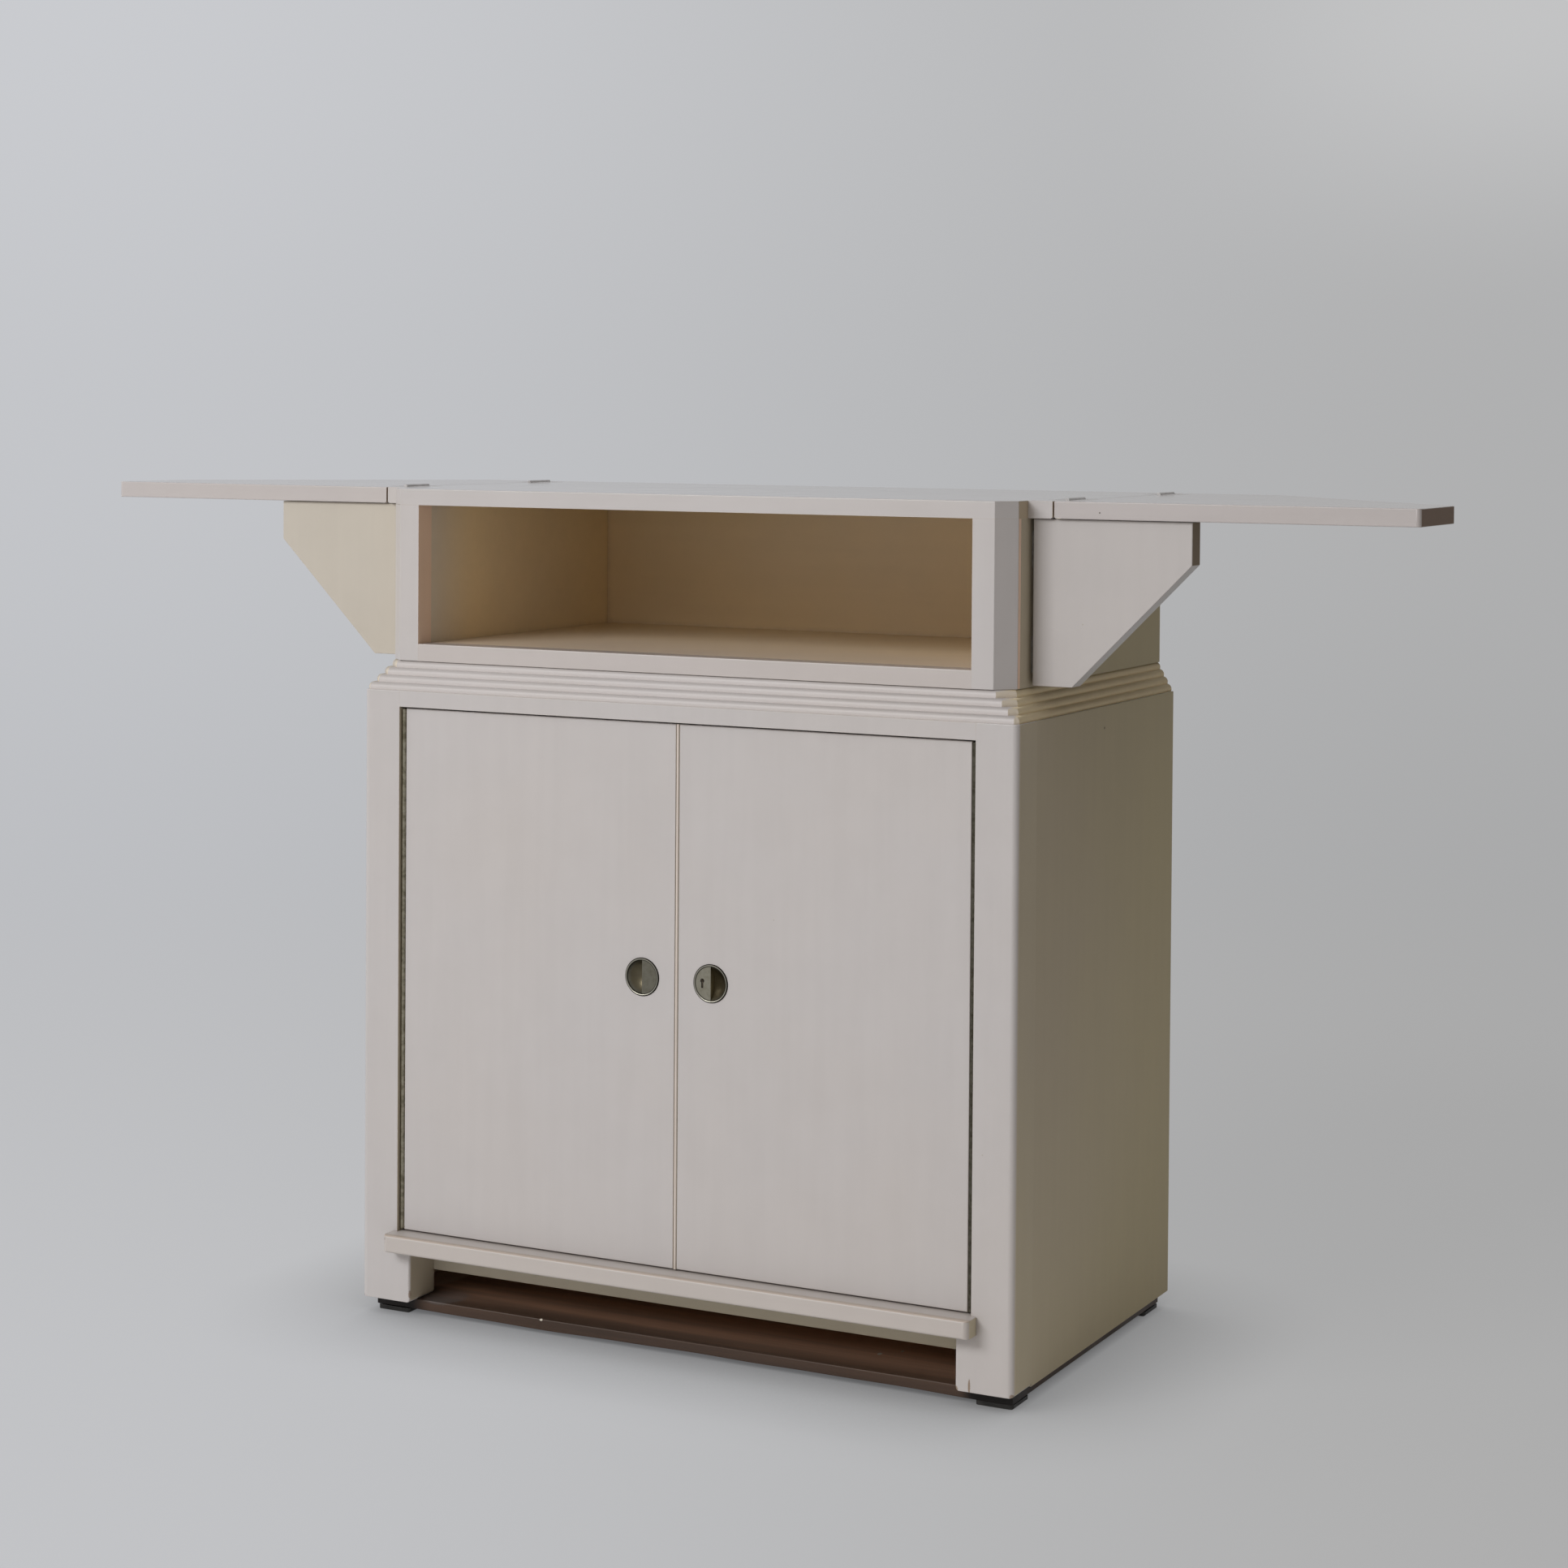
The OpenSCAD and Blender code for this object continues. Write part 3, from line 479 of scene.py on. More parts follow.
def makeWoodStain(pattern):
    group, given, result = makeGroup(
        "woodStain",
        [
            ("Dark", "color", (0.04, 0.025, 0.018)), ("Brown", "color", (0.075, 0.043, 0.028)),
            ("Light", "color", (0.12, 0.066, 0.042)), ("Edge", "float", 0.0), ("Painted Light And Shade", "float", 0.0),
        ],
        [("Color", "color"), ("Roughness", "float"), ("Height", "float")],
    )
    where = onObject(group)
    bands = noise(group, where, *pattern["bands"])
    fibres = noise(group, where, *pattern["fibres"])
    patches = noise(group, where, *pattern["patches"])
    color = blendColor(group, remap(group, bands, *pattern["bandSpan"]), given["Dark"], given["Brown"])
    pale = remap(group, fibres, *pattern["fibreSpan"])
    pale = calc(group, "MULTIPLY", pale, remap(group, patches, *pattern["patchSpan"]))
    color = blendColor(group, pale, color, given["Light"])
    edge = calc(group, "MULTIPLY", given["Edge"], pattern["edgeShare"])
    color = blendColor(group, edge, color, given["Light"])
    group.links.new(scaleColor(group, color, given["Painted Light And Shade"]), result["Color"])
    group.links.new(remap(group, patches, *pattern["patchGloss"]), result["Roughness"])
    height = calc(group, "MULTIPLY", fibres, pattern["fibreHeight"])
    height = calc(group, "ADD", height, calc(group, "MULTIPLY", bands, pattern["bandHeight"]))
    group.links.new(height, result["Height"])
    return group


metalPattern = {
    "blotches": (120.0, 4.0, 0.65),
    "blotchSpan": (0.35, 0.7),
    "blotchGloss": (0.3, 0.7, 0.3, 0.46),
    "grains": (900.0, 3.0, 0.6),
    "grainHeight": 0.4,
    "edgeShare": 0.7,
    "creviceDulling": 0.25,
}


def makeAgedMetal(pattern):
    group, given, result = makeGroup(
        "agedMetal",
        [
            ("Metal", "color", (0.42, 0.39, 0.31)), ("Patina", "color", (0.16, 0.14, 0.09)),
            ("Bright", "color", (0.6, 0.57, 0.48)), ("Tarnish", "float", 0.4),
            ("Edge", "float", 0.0), ("Crevice", "float", 0.0),
        ],
        [("Color", "color"), ("Roughness", "float"), ("Height", "float")],
    )
    where = onObject(group)
    blotches = noise(group, where, *pattern["blotches"])
    grains = noise(group, where, *pattern["grains"])
    amount = calc(group, "MULTIPLY", remap(group, blotches, *pattern["blotchSpan"]), given["Tarnish"])
    color = blendColor(group, amount, given["Metal"], given["Patina"])
    edge = calc(group, "MULTIPLY", given["Edge"], pattern["edgeShare"])
    color = blendColor(group, edge, color, given["Bright"])
    color = blendColor(group, given["Crevice"], color, given["Patina"])
    group.links.new(color, result["Color"])
    dulling = calc(group, "MULTIPLY", given["Crevice"], pattern["creviceDulling"])
    rough = calc(group, "ADD", remap(group, blotches, *pattern["blotchGloss"]), dulling)
    group.links.new(rough, result["Roughness"])
    height = calc(group, "ADD", calc(group, "MULTIPLY", grains, pattern["grainHeight"]), blotches)
    group.links.new(height, result["Height"])
    return group


edgeWear = makeEdgeWear(wearPattern)
localMark = makeLocalMark(markPattern)
agedPaint = makeAgedPaint(paintPattern)
woodStain = makeWoodStain(stainPattern)
agedMetal = makeAgedMetal(metalPattern)
print("shared effects built")


def startMaterial(name, **shader):
    material = bpy.data.materials.new(name)
    material.use_nodes = True
    tree = material.node_tree
    tree.nodes.clear()
    bsdf = addNode(tree, "BsdfPrincipled", shader)
    out = addNode(tree, "OutputMaterial")
    tree.links.new(bsdf.outputs[0], out.inputs["Surface"])
    return material, tree, bsdf


def addBump(tree, bsdf, height, strength, distance):
    bump = addNode(tree, "Bump", {"Height": height, "Strength": strength, "Distance": distance})
    tree.links.new(bump.outputs[0], bsdf.inputs["Normal"])


def addWear(tree, width, reach, breakUp):
    return useGroup(tree, edgeWear, {"Radius": width, "Reach": reach, "Break Up": breakUp})


def addMarks(tree, color, marks):
    for place, size, tone, share in marks:
        mask = useGroup(tree, localMark, {"Place": place, "Size": size})["Mask"]
        color = blendColor(tree, calc(tree, "MULTIPLY", mask, share), color, tone)
    return color


def paintMaterial(name, look):
    material, tree, bsdf = startMaterial(name, **{"Specular IOR Level": look["gloss"]})
    wear = addWear(tree, look["edgeWidth"], look["grimeAndPaintedShadingReach"], look["edgeBreakUp"])
    texture = addNode(tree, "TexCoord").outputs
    depth = splitUp(tree, texture["Object"])["Y"]
    facing = splitUp(tree, texture["Normal"])     # turns with the piece
    acrossX, acrossY = calc(tree, "ABSOLUTE", facing["X"]), calc(tree, "ABSOLUTE", facing["Y"])
    across = calc(tree, "ADD", calc(tree, "ADD", acrossX, acrossY), 0.01)     # never zero
    # faces that look along X take the finish's sideways tone; some finishes set it as painted shade, others
    # as painted light
    sideways = remap(tree, calc(tree, "DIVIDE", acrossX, across), *look["sidewaysFrom"])
    tint = remap(tree, calc(tree, "ABSOLUTE", facing["Z"]), *look["tiltedFrom"], 1.0, look["tiltedTint"])
    sideways = calc(tree, "MULTIPLY", tint, sideways)
    upward = remap(tree, facing["Z"], *look["topFrom"])
    # the crevice mask lays grime and painted shade, less of it on side-facing faces
    grimeAndPaintedShading = remap(tree, sideways, 0.0, 1.0, 1.0, 1.0 - look["tiltedTint"])
    grimeAndPaintedShading = calc(tree, "MULTIPLY", look["grimeAndPaintedShadingAmount"], grimeAndPaintedShading)
    rough = remap(tree, upward, 0.0, 1.0, look["roughness"], look["topRoughness"])
    paint = useGroup(tree, agedPaint, {
        "Paint": blendColor(tree, sideways, look["paint"], look["sideways"]),
        "Yellowed": blendColor(tree, sideways, look["yellowed"], look["sidewaysYellowed"]),
        "Worn": look["worn"],
        "Grime And Painted Shading": look["grimeAndPaintedShading"],
        "Yellowing": remap(tree, depth, *look["yellowing"]),
        "Edge": calc(tree, "MULTIPLY", wear["Edge"], look["edgeAmount"]),
        "Crevice": calc(tree, "MULTIPLY", wear["Crevice"], grimeAndPaintedShading),
        "Gloss Loss": calc(tree, "ADD", rough, calc(tree, "MULTIPLY", sideways, look["sidewaysDulling"])),
        "Brush Direction": look["brush"],
    })
    color = addMarks(tree, paint["Color"], look["marks"])
    if look["paintedCountershade"]:     # painted shade and light: darker where it faces up, paler where it faces down, against the faces' own shading
        down, up = 1.0 + look["paintedCountershade"], 1.0 - look["paintedCountershade"]
        color = scaleColor(tree, color, remap(tree, facing["Z"], *look["paintedCountershadeSpan"], down, up))
    tree.links.new(color, bsdf.inputs["Base Color"])
    tree.links.new(paint["Roughness"], bsdf.inputs["Roughness"])
    height = calc(tree, "MULTIPLY", paint["Height"], remap(tree, upward, 0.0, 1.0, 1.0, look["topHeight"]))
    addBump(tree, bsdf, height, *look["bump"])
    return material


bareWood, oldDirt, freshChip = (0.2, 0.13, 0.075), (0.06, 0.045, 0.03), (0.72, 0.68, 0.62)
upright, crosswise = (1, 1, 0.06), (0.06, 1, 1)     # brush strokes
frontPaint = {
    "slot": "paint",
    "paint": (0.482, 0.468, 0.479),
    "yellowed": (0.485, 0.45, 0.43),
    "yellowing": (-0.2, 0.25, 0.15, 0.3),     # from this depth to that, from this share to that
    "worn": (0.52, 0.46, 0.38),
    "grimeAndPaintedShading": (0.25, 0.195, 0.14),
    "sideways": (0.515, 0.46, 0.36),
    "sidewaysYellowed": (0.545, 0.487, 0.32),
    "sidewaysFrom": (0.6, 0.8),
    "sidewaysDulling": 0.3,
    "tiltedTint": 0.0,                        # share of the sideways tone on faces that lean up or down
    "tiltedFrom": (0.35, 0.65),
    "topFrom": (0.8, 0.95),
    "topHeight": 0.3,
    "edgeWidth": 0.0016,
    "edgeAmount": 0.45,
    "edgeBreakUp": 0.65,
    "grimeAndPaintedShadingReach": 0.010,
    "grimeAndPaintedShadingAmount": 0.25,
    "gloss": 0.45,
    "roughness": 0.3,
    "topRoughness": 0.2,
    "brush": upright,
    "bump": (0.15, 0.0003),
    "paintedCountershade": 0,
    "paintedCountershadeSpan": (-0.9, 0.9),
    "marks": (                                # place, size, tone and strength
        ((0.4250, -0.2290, 0.5984), (0.0025, 0.003, 0.0035), bareWood, 0.7),
        ((0.3729, -0.2295, 0.0260), (0.0016, 0.004, 0.009), bareWood, 0.8),
        ((0.3565, -0.2285, 0.0215), (0.004, 0.003, 0.0035), bareWood, 0.8),
        ((0.4235, -0.2280, 0.0210), (0.004, 0.004, 0.003), bareWood, 0.7),
        ((-0.3560, -0.2290, 0.0290), (0.0025, 0.003, 0.006), bareWood, 0.75),
        ((-0.3560, -0.2020, 0.0500), (0.004, 0.055, 0.042), (0.2, 0.16, 0.13), 0.3),     # painted shade on the left leg's inside
        ((-0.4240, -0.2280, 0.0200), (0.004, 0.004, 0.0025), bareWood, 0.5),
        ((-0.2039, -0.2113, 0.9733), (0.003, 0.003, 0.0016), bareWood, 0.5),
    ),
}
mouldingPaint = {
    **frontPaint,
    "paint": (0.53, 0.507, 0.515),
    "yellowed": (0.53, 0.49, 0.465),
    "grimeAndPaintedShading": (0.64, 0.6, 0.58),               # painted light: a pale tone in the grooves that evens out their shade
    # painted light: side-facing faces of the reeds are drawn much paler, against their shade
    "sideways": (0.9, 0.78, 0.55),
    "sidewaysYellowed": (0.9, 0.78, 0.53),
    "sidewaysFrom": (0.25, 0.8),
    "tiltedTint": 1.0,
    "edgeAmount": 0,
    "grimeAndPaintedShadingAmount": 0.5,
    "gloss": 0.35,
    "roughness": 0.42,
    "topRoughness": 0.42,
    "brush": crosswise,
    "paintedCountershade": 0.2,
    "marks": (((-0.0497, -0.2270, 0.7594), (0.0016, 0.003, 0.0016), oldDirt, 0.8),),
}
mouldingLeftPaint = {
    **mouldingPaint,
    "sideways": (0.52, 0.465, 0.36),
    "sidewaysYellowed": (0.545, 0.487, 0.33),
    "marks": (),
}
topPaint = {
    **frontPaint,
    "sideways": (0.53, 0.44, 0.32),
    "sidewaysYellowed": (0.53, 0.44, 0.31),
    "topRoughness": 0.12,
    "brush": crosswise,
    "marks": (
        ((0.4427, -0.1657, 0.9722), (0.004, 0.004, 0.0018), freshChip, 0.9),
        ((0.4910, -0.1657, 0.9802), (0.0011, 0.003, 0.0011), oldDirt, 0.8),
    ),
}
leafPaint = {
    **topPaint,
    "paint": (0.452, 0.428, 0.436),
    # painted shade: the leaves' end faces are drawn dark brown
    "sideways": (0.162, 0.1, 0.062),
    "sidewaysYellowed": (0.162, 0.1, 0.06),
}
sillPaint = {**frontPaint, "paint": (0.478, 0.448, 0.446), "brush": crosswise, "marks": ()}
stilePaint = {
    **frontPaint,
    # painted light: the stiles' side faces are drawn much paler than the front
    "sideways": (0.86, 0.64, 0.5),
    "sidewaysYellowed": (0.84, 0.63, 0.47),
    "sidewaysFrom": (0.85, 0.98),
    "marks": (),
}
ledgePaint = {
    **frontPaint,
    "paint": (0.465, 0.435, 0.424),
    "edgeAmount": 0.1,
    "roughness": 0.4,
    "topRoughness": 0.4,
    "brush": crosswise,
    "marks": (
        ((0, -0.2492, 0.1035), (10, 0.0048, 0.0022), (0.40, 0.32, 0.255), 0.6),     # rubbed along the front
        ((-0.3780, -0.2525, 0.0990), (0.0016, 0.003, 0.0025), oldDirt, 0.6),
    ),
}
beadPaint = {
    **frontPaint,
    "paint": (0.6, 0.54, 0.5),
    "worn": (0.45, 0.37, 0.29),
    "edgeWidth": 0.001,
    "edgeAmount": 0.6,
    "marks": (),
}
sidePaint = {
    **frontPaint,
    "paint": (0.47, 0.435, 0.36),
    "yellowed": (0.485, 0.45, 0.315),
    "yellowing": (-0.2, 0.25, 0.1, 0.85),
    "sidewaysDulling": 0.1,
    "gloss": 0.25,
    "roughness": 0.5,
    "marks": (((0.4250, 0.0243, 0.7264), (0.003, 0.0018, 0.0018), oldDirt, 0.8),),
}
shelteredPaint = {
    **frontPaint,
    "paint": (0.475, 0.45, 0.408),
    "yellowed": (0.48, 0.437, 0.375),
    "yellowing": (-0.2, 0.25, 0.3, 0.5),
    # painted shade: the left bracket's end faces are drawn dark
    "sideways": (0.12, 0.092, 0.065),
    "sidewaysYellowed": (0.12, 0.092, 0.06),
    "marks": (),
}
bracketPaint = {
    **frontPaint,
    "paint": (0.458, 0.442, 0.447),
    # painted shade: the bracket's end faces are drawn dark
    "sideways": (0.205, 0.155, 0.1),
    "sidewaysYellowed": (0.205, 0.155, 0.095),
    "marks": (),
}
insidePaint = {
    **frontPaint,
    "slot": "paint_inside",
    # paler and warmer than the front paint, and more so deeper in: partly yellowed paint, partly painted
    # light against the niche's shade
    "paint": (0.66, 0.59, 0.50),
    "yellowed": (0.84, 0.66, 0.41),
    "yellowing": (-0.195, -0.08, 0.0, 0.9),
    "sideways": (0.66, 0.59, 0.50),
    "sidewaysYellowed": (0.93, 0.735, 0.44),
    "grimeAndPaintedShadingAmount": 0.35,
    "roughness": 0.42,
    "topRoughness": 0.3,
    "brush": crosswise,
    "marks": (),
}
nicheFloorPaint = {
    **insidePaint,
    # likewise paler deeper in: partly yellowed paint, partly painted light on the shaded back of the floor
    "paint": (0.62, 0.53, 0.44),
    "yellowed": (0.84, 0.66, 0.42),
    "yellowing": (-0.2, 0.2, 0.1, 0.9),
}


boardStain = {
    "gloss": 0.35,
    "wear": (0.003, 0.01, 0.7),               # width, reach and break-up
    "edgeAmount": 0.4,
    "paintedLightBehind": (-0.208, -0.13, 1.0, 7.0),      # painted light: paler further back, where the board lies in shade; from this depth to that, from this share to that
    "legWidth": (0.35, 0.368),                # painted shade beside the legs
    "legDepth": (-0.14, -0.175),
    "ends": (0.398, 0.403),                   # and at the ends
    "darkShare": 0.12,
    "bump": (0.35, 0.0005),
    "marks": (                                # first painted light behind the left leg, where the board lies in deep shade
        ((-0.3900, -0.1000, 0.0190), (0.034, 0.07, 0.006), (0.6, 0.43, 0.34), 0.9),
        ((-0.3330, -0.1850, 0.0190), (0.030, 0.034, 0.006), (0.13, 0.13, 0.135), 0.35),
        ((-0.1848, -0.2095, 0.0175), (0.0022, 0.003, 0.0016), (0.6, 0.57, 0.5), 0.9),
        ((0.2258, -0.1461, 0.0190), (0.003, 0.005, 0.002), (0.5, 0.48, 0.42), 0.9),
        ((0.2446, -0.1255, 0.0190), (0.002, 0.004, 0.002), (0.5, 0.48, 0.42), 0.8),
    ),
}


def stainMaterial(name, look):
    material, tree, bsdf = startMaterial(name, **{"Specular IOR Level": look["gloss"]})
    wear = addWear(tree, *look["wear"])
    where = splitUp(tree, onObject(tree))
    outward = calc(tree, "ABSOLUTE", where["X"])
    # painted shade beside the legs and at the board's ends
    corner = remap(tree, outward, *look["legWidth"])
    corner = calc(tree, "MULTIPLY", corner, remap(tree, where["Y"], *look["legDepth"]))
    corner = calc(tree, "MAXIMUM", corner, remap(tree, outward, *look["ends"]))
    paintedShade = remap(tree, corner, 0.0, 1.0, 1.0, look["darkShare"], smooth=False)
    stain = useGroup(tree, woodStain, {
        "Edge": calc(tree, "MULTIPLY", wear["Edge"], look["edgeAmount"]),
        "Painted Light And Shade": calc(tree, "MULTIPLY", remap(tree, where["Y"], *look["paintedLightBehind"]), paintedShade),
    })
    tree.links.new(addMarks(tree, stain["Color"], look["marks"]), bsdf.inputs["Base Color"])
    tree.links.new(stain["Roughness"], bsdf.inputs["Roughness"])
    addBump(tree, bsdf, stain["Height"], *look["bump"])
    return material


def metalMaterial(name, look, shading=None):
    material, tree, bsdf = startMaterial(name, Metallic=1.0)
    wear = addWear(tree, *look["wear"])
    metal = useGroup(tree, agedMetal, {
        "Metal": look["metal"],
        "Patina": look["patina"],
        "Bright": look["bright"],
        "Tarnish": look["tarnish"],
        "Edge": wear["Edge"],
        "Crevice": calc(tree, "MULTIPLY", wear["Crevice"], look["dirt"]),
    })
    color = metal["Color"]
    if shading:
        color = shading(tree, color, look)
    tree.links.new(color, bsdf.inputs["Base Color"])
    tree.links.new(calc(tree, "ADD", metal["Roughness"], look["dulling"]), bsdf.inputs["Roughness"])
    addBump(tree, bsdf, metal["Height"], *look["bump"])
    return material


steelMetal = {
    "metal": (0.42, 0.41, 0.39),
    "patina": (0.16, 0.14, 0.12),
    "bright": (0.6, 0.6, 0.58),
    "tarnish": 0.6,
    "dirt": 0.6,
    "dulling": 0,
    "wear": (0.0006, 0.004, 0.4),     # width, reach and break-up
    "bump": (0.2, 0.0002),
}
nickelMetal = {
    **steelMetal,
    "metal": (0.55, 0.53, 0.52),
    "patina": (0.42, 0.4, 0.39),
    "bright": (0.6, 0.59, 0.58),
    "tarnish": 0.4,
    "dirt": 0.2,
    "dulling": 0.3,
}
hingeMetal = {
    **steelMetal,
    "metal": (0.36, 0.33, 0.25),
    "patina": (0.1, 0.085, 0.05),
    "bright": (0.55, 0.5, 0.4),
    "tarnish": 0.8,
    "dirt": 0.7,
    "middle": (-0.1, 0.1),
    "rightShare": 0.35,               # the right door's hinge is drawn darker, at this share
}


def shadeHinge(tree, color, look):
    where = splitUp(tree, onObject(tree))
    return scaleColor(tree, color, remap(tree, where["X"], *look["middle"], 1.0, look["rightShare"]))


pullMetal = {
    **steelMetal,
    "metal": (0.33, 0.31, 0.245),
    "patina": (0.14, 0.125, 0.085),
    "bright": (0.5, 0.48, 0.42),
    "tarnish": 0.5,
    "centers": (-0.0425, 0.0469),
    "middle": (-0.001, 0.001),
    "height": 0.4372,
    "face": -0.2245,
    "outline": (0.02, 0.018, 0.013),
    "rim": (0.0207, 0.0214),
    "rimTone": (0.38, 0.36, 0.3),
    "rimBlend": 0.0006,
    "groove": 0.0195,
    "grooveWidth": 0.0007,
    "grooveCore": 0.4,
    "grooveShare": 0.8,
    "bowl": (0.2, 0.165, 0.1),
    "bowlDepth": (0.0005, 0.004),
    "bowlShare": 0.85,
    "leftShare": 0.62,                # the left pull is drawn darker, at this share
}


# a dark outline, painted as the shadow where the rim meets the door; a pale rim, paler metal with a painted
# highlight; a dark groove inside it; and a browned bowl
def shadePull(tree, color, look):
    where = splitUp(tree, onObject(tree))
    center = remap(tree, where["X"], *look["middle"], *look["centers"], smooth=False)
    across = calc(tree, "SUBTRACT", where["X"], center)
    up = calc(tree, "SUBTRACT", where["Z"], look["height"])
    square = calc(tree, "ADD", calc(tree, "MULTIPLY", across, across), calc(tree, "MULTIPLY", up, up))
    radius = calc(tree, "SQRT", square)
    deep = remap(tree, where["Y"], *(look["face"] + depth for depth in look["bowlDepth"]))
    color = blendColor(tree, calc(tree, "MULTIPLY", deep, look["bowlShare"]), color, look["bowl"])
    share = remap(tree, where["X"], *look["middle"], look["leftShare"], 1.0, smooth=False)
    color = scaleColor(tree, color, share)
    # the pale rim: paler metal and a painted highlight
    outside = remap(tree, radius, look["groove"], look["groove"] + look["rimBlend"])
    color = blendColor(tree, outside, color, look["rimTone"])
    groove = calc(tree, "ABSOLUTE", calc(tree, "SUBTRACT", radius, look["groove"]))
    core = look["grooveWidth"] * look["grooveCore"]
    groove = remap(tree, groove, look["grooveWidth"], core, 0.0, look["grooveShare"])
    color = blendColor(tree, groove, color, look["outline"])
    # the dark outline: painted shadow where the rim meets the door
    return blendColor(tree, remap(tree, radius, *look["rim"]), color, look["outline"])


padRubber = {
    "gloss": 0.5,
    "black": (0.012, 0.011, 0.01),
    "dusty": (0.05, 0.045, 0.04),
    "worn": (0.06, 0.055, 0.05),
    "dust": (60.0, 4.0, 0.6),
    "dustSpan": (0.45, 0.8, 0.0, 0.5),
    "dustGloss": (0.3, 0.7, 0.35, 0.6),
    "wear": (0.002, 0.008, 0.5),      # width, reach and break-up
    "edgeAmount": 0.5,
    "bump": (0.2, 0.0005),
}


def rubberMaterial(name, look):
    material, tree, bsdf = startMaterial(name, **{"Specular IOR Level": look["gloss"]})
    dust = noise(tree, onObject(tree), *look["dust"])
    wear = addWear(tree, *look["wear"])
    color = blendColor(tree, remap(tree, dust, *look["dustSpan"]), look["black"], look["dusty"])
    color = blendColor(tree, calc(tree, "MULTIPLY", wear["Edge"], look["edgeAmount"]), color, look["worn"])
    tree.links.new(color, bsdf.inputs["Base Color"])
    tree.links.new(remap(tree, dust, *look["dustGloss"]), bsdf.inputs["Roughness"])
    addBump(tree, bsdf, dust, *look["bump"])
    return material


# finishes, each with its material and its slot
paints = {
    "front": frontPaint, "moulding": mouldingPaint, "mouldingLeft": mouldingLeftPaint, "stile": stilePaint,
    "ledge": ledgePaint, "bead": beadPaint, "top": topPaint, "leaf": leafPaint, "sill": sillPaint,
    "side": sidePaint, "sheltered": shelteredPaint, "bracket": bracketPaint,
    "inside": insidePaint, "nicheFloor": nicheFloorPaint,
}
finishes = {name: (paintMaterial(name + "Paint", look), look["slot"]) for name, look in paints.items()}
finishes["stain"] = (stainMaterial("darkStain", boardStain), "stain")
finishes["pull"] = (metalMaterial("pullMetal", pullMetal, shadePull), "brass")
finishes["hinge"] = (metalMaterial("hingeMetal", hingeMetal, shadeHinge), "brass")
finishes["nickel"] = (metalMaterial("nickelPlate", nickelMetal), "steel")
finishes["steel"] = (metalMaterial("dullSteel", steelMetal), "steel")
finishes["pad"] = (rubberMaterial("blackPad", padRubber), "pads")
print("materials ready")


# painted boards: the CAD shape with its sharp arrises eased
# finish, easing in mm, and the planes in which the board meets another one flush
boards = {
    "post_left": ("front", 1.0, "postBack", "opening"), "post_right": ("front", 1.0, "postBack", "opening"),
    "ledge": ("ledge", 1.0), "door_rail": ("front", 0.5, "opening"),
    "door_left": ("front", 0.8), "door_right": ("front", 0.8), "meeting_bead": ("bead", 0.2),
    "moulding_front": ("moulding", 0), "moulding_left": ("mouldingLeft", 0),
    "moulding_right": ("moulding", 0), "moulding_back": ("side", 0),
    "stile_left": ("stile", 0.6, "ceiling", "niche"), "stile_right": ("stile", 0.6, "ceiling", "niche"),
    "niche_sill": ("sill", 0.6, "niche"), "top_board": ("top", 0.6, "ceiling"),
    "leaf_strip_left": ("top", 0.6), "leaf_strip_right": ("top", 0.6),
    "leaf_left": ("leaf", 0.8), "leaf_right": ("leaf", 0.8),
    "bracket_left": ("sheltered", 0.8), "bracket_right": ("bracket", 0.8),
    "side_left": ("side", 0), "side_right": ("side", 0),
    "upper_side_left": ("side", 0), "upper_side_right": ("side", 0),
    "toe_rail": ("side", 0.6), "cupboard_back": ("side", 0.6),
    "deck": ("inside", 0.4), "cupboard_floor": ("inside", 0.4),
    "shelf": ("inside", 0.8), "shelf_cleats": ("inside", 0.8),
    "niche_floor": ("nicheFloor", 0), "niche_lining_left": ("inside", 0),
    "niche_lining_right": ("inside", 0), "niche_back": ("inside", 0),
}
flush = {
    "opening": ("x", 0.3745),
    "niche": ("x", 0.3605),
    "ceiling": ("z", 0.9726),
    "postBack": ("y", -0.1775),
}
easing = {
    "weld": 1e-6,          # metres
    "flushWithin": 1e-4,   # metres
    "flatBelow": 0.5,      # degrees
    "sharpAbove": 30,      # degrees
    "segments": 2,
    "evenness": 100,
}

# nodes that are shown as they are, by finish
keptNodes = {
    "pad": ("feet",),
    "pull": ("pull_left", "pull_right"),
    "nickel": ("leaf_hinge_fixed", "leaf_hinge_pins", "leaf_hinge_left", "leaf_hinge_right"),
    "steel": (
        "bracket_hinge_fixed", "bracket_hinge_pins", "bracket_hinge_left", "bracket_hinge_right",
        "lock_case", "lock_keeper", "bolt_guides", "bolt_top", "bolt_bottom",
    ),
    "hinge": ("door_hinge_fixed", "door_hinge_pins", "door_hinge_left", "door_hinge_right", "lock_bolt"),
}


def setFinish(mesh, finish):
    mesh.materials.clear()
    mesh.materials.append(finishes[finish][0])


def link(name, mesh, finish, body, replaced):
    piece = bpy.data.objects.new(name, mesh)
    bpy.context.scene.collection.objects.link(piece)
    setFinish(mesh, finish)
    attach(piece, body)
    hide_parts(replaced)
    return piece


def inPlane(edge, plane):
    axis, place = plane
    ends = (abs(getattr(corner.co, axis)) for corner in edge.verts)
    return all(abs(end - abs(place)) < easing["flushWithin"] for end in ends)


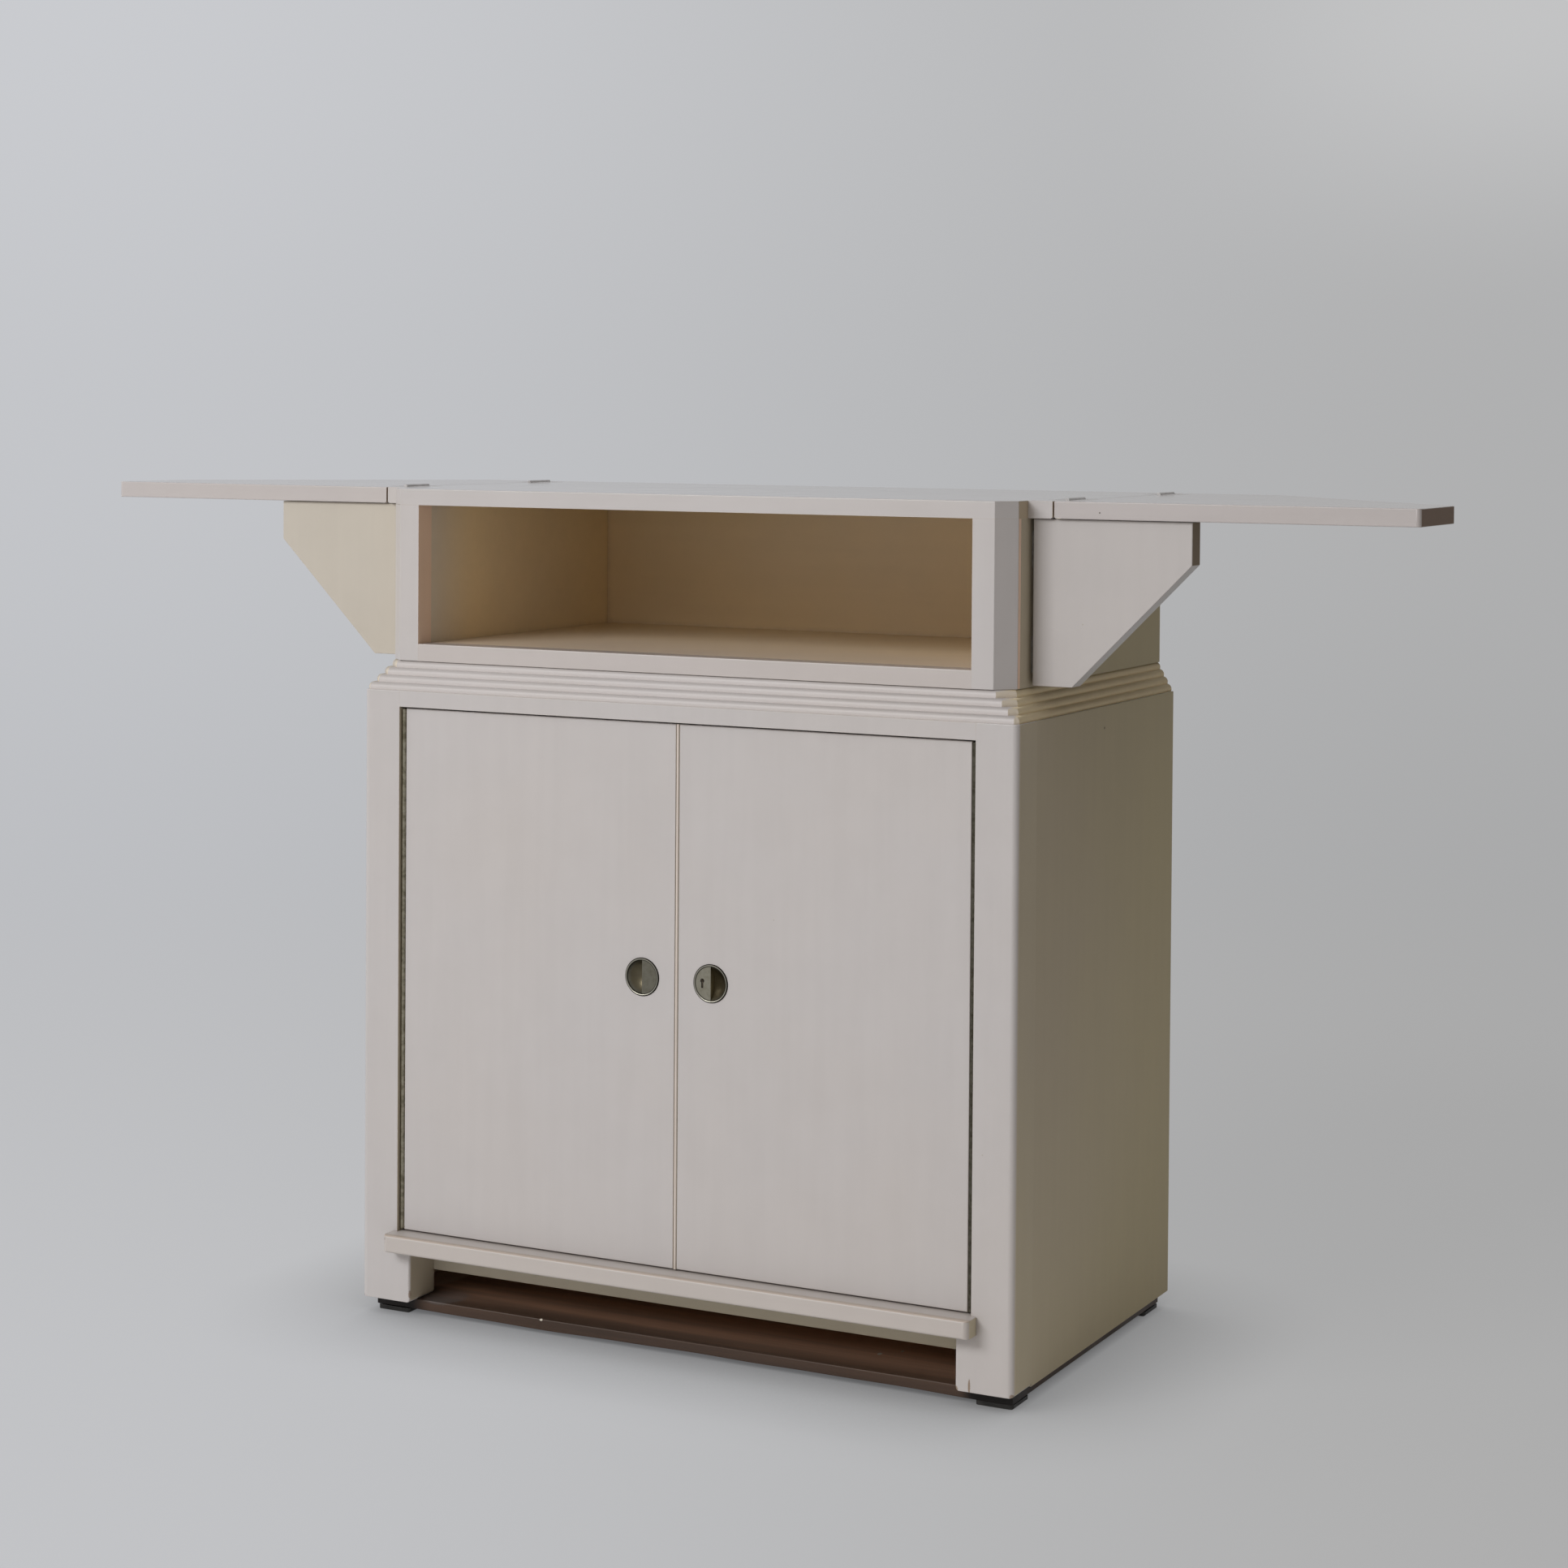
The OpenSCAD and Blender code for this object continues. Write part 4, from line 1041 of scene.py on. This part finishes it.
def easedCopy(name, finish, width, *planes):
    source = nodes[name]
    shape = bmesh.new()
    shape.from_mesh(source.data)
    bmesh.ops.remove_doubles(shape, verts=shape.verts, dist=easing["weld"])
    flatBelow, sharpAbove = math.radians(easing["flatBelow"]), math.radians(easing["sharpAbove"])
    bmesh.ops.dissolve_limit(shape, angle_limit=flatBelow, verts=shape.verts, edges=shape.edges)
    weight = shape.edges.layers.float.new("bevel_weight_edge")
    for face in shape.faces:
        face.smooth = True
    for edge in shape.edges:
        sharp = len(edge.link_faces) == 2 and edge.calc_face_angle(0) > sharpAbove
        flat = any(inPlane(edge, flush[plane]) for plane in planes)
        edge[weight] = 1.0 if sharp and width and not flat else 0.0
        edge.smooth = not sharp or edge[weight] > 0
    mesh = bpy.data.meshes.new(name + "_eased")
    shape.to_mesh(mesh)
    shape.free()
    piece = link(name + "_eased", mesh, finish, source["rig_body"], name)
    if width:
        ease = piece.modifiers.new("ease", "BEVEL")
        ease.width = width / 1000
        ease.segments = easing["segments"]
        ease.limit_method = "WEIGHT"
        even = piece.modifiers.new("even", "WEIGHTED_NORMAL")
        even.weight = easing["evenness"]
        even.keep_sharp = True


for name, plan in boards.items():
    easedCopy(name, *plan)
for finish, names in keptNodes.items():
    for name in names:
        setFinish(nodes[name].data, finish)
print("boards eased:", len(boards))


# stained bottom board: it has warped a little, so its front edge waves
bottomBoard = {
    "steps": 96,
    "rows": 10,
    "crowding": 2,            # the rows lie closer together towards the front
    "wave": 0.0013,
    "bends": ((9.5, 0.6, 0.55), (21, 2.1, 0.3), (47, 0.4, 0.15)),     # radians per metre, phase and share
    "waveDepth": 0.05,
    "underside": 0.0014,      # how much the flat faces stand back, so that the waves stay within the board
    "upside": 0.0001,
    "upsideShare": 0.4,
    "ease": 0.0012,
    "easeSegments": 3,
    "easeAbove": 40,          # degrees
}


def makeBottomBoard(board):
    low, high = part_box("bottom_board")
    steps, rows = board["steps"], board["rows"]

    def wave(x, depth):
        bend = sum(math.sin(number * x + phase) * share for number, phase, share in board["bends"])
        return board["wave"] * bend * math.exp(-depth / board["waveDepth"])

    shape = bmesh.new()
    bottom, top = [], []
    for grid in (bottom, top):
        for j in range(rows + 1):
            depth = (high.y - low.y) * (j / rows) ** board["crowding"]
            line = []
            for i in range(steps + 1):
                x = low.x + (high.x - low.x) * i / steps
                lift = wave(x, depth)
                if grid is bottom:
                    z = low.z + board["underside"] + lift
                else:
                    z = high.z - board["upside"] + min(0, lift * board["upsideShare"])
                line.append(shape.verts.new((x, low.y + depth, z)))
            grid.append(line)
    for j in range(rows):
        for i in range(steps):
            shape.faces.new((bottom[j][i], bottom[j + 1][i], bottom[j + 1][i + 1], bottom[j][i + 1]))
            shape.faces.new((top[j][i], top[j][i + 1], top[j + 1][i + 1], top[j + 1][i]))
    for i in range(steps):
        shape.faces.new((bottom[0][i], bottom[0][i + 1], top[0][i + 1], top[0][i]))
        shape.faces.new((bottom[rows][i + 1], bottom[rows][i], top[rows][i], top[rows][i + 1]))
    for j in range(rows):
        shape.faces.new((bottom[j + 1][0], bottom[j][0], top[j][0], top[j + 1][0]))
        shape.faces.new((bottom[j][steps], bottom[j + 1][steps], top[j + 1][steps], top[j][steps]))
    for face in shape.faces:
        face.smooth = True
    mesh = bpy.data.meshes.new("bottom_board_warped")
    shape.to_mesh(mesh)
    shape.free()
    piece = link("bottom_board_warped", mesh, "stain", "root", "bottom_board")
    ease = piece.modifiers.new("ease", "BEVEL")
    ease.width = board["ease"]
    ease.segments = board["easeSegments"]
    ease.limit_method = "ANGLE"
    ease.angle_limit = math.radians(board["easeAbove"])
    piece.modifiers.new("even", "WEIGHTED_NORMAL")


makeBottomBoard(bottomBoard)
print("bottom board made")

bpy.context.view_layer.update()
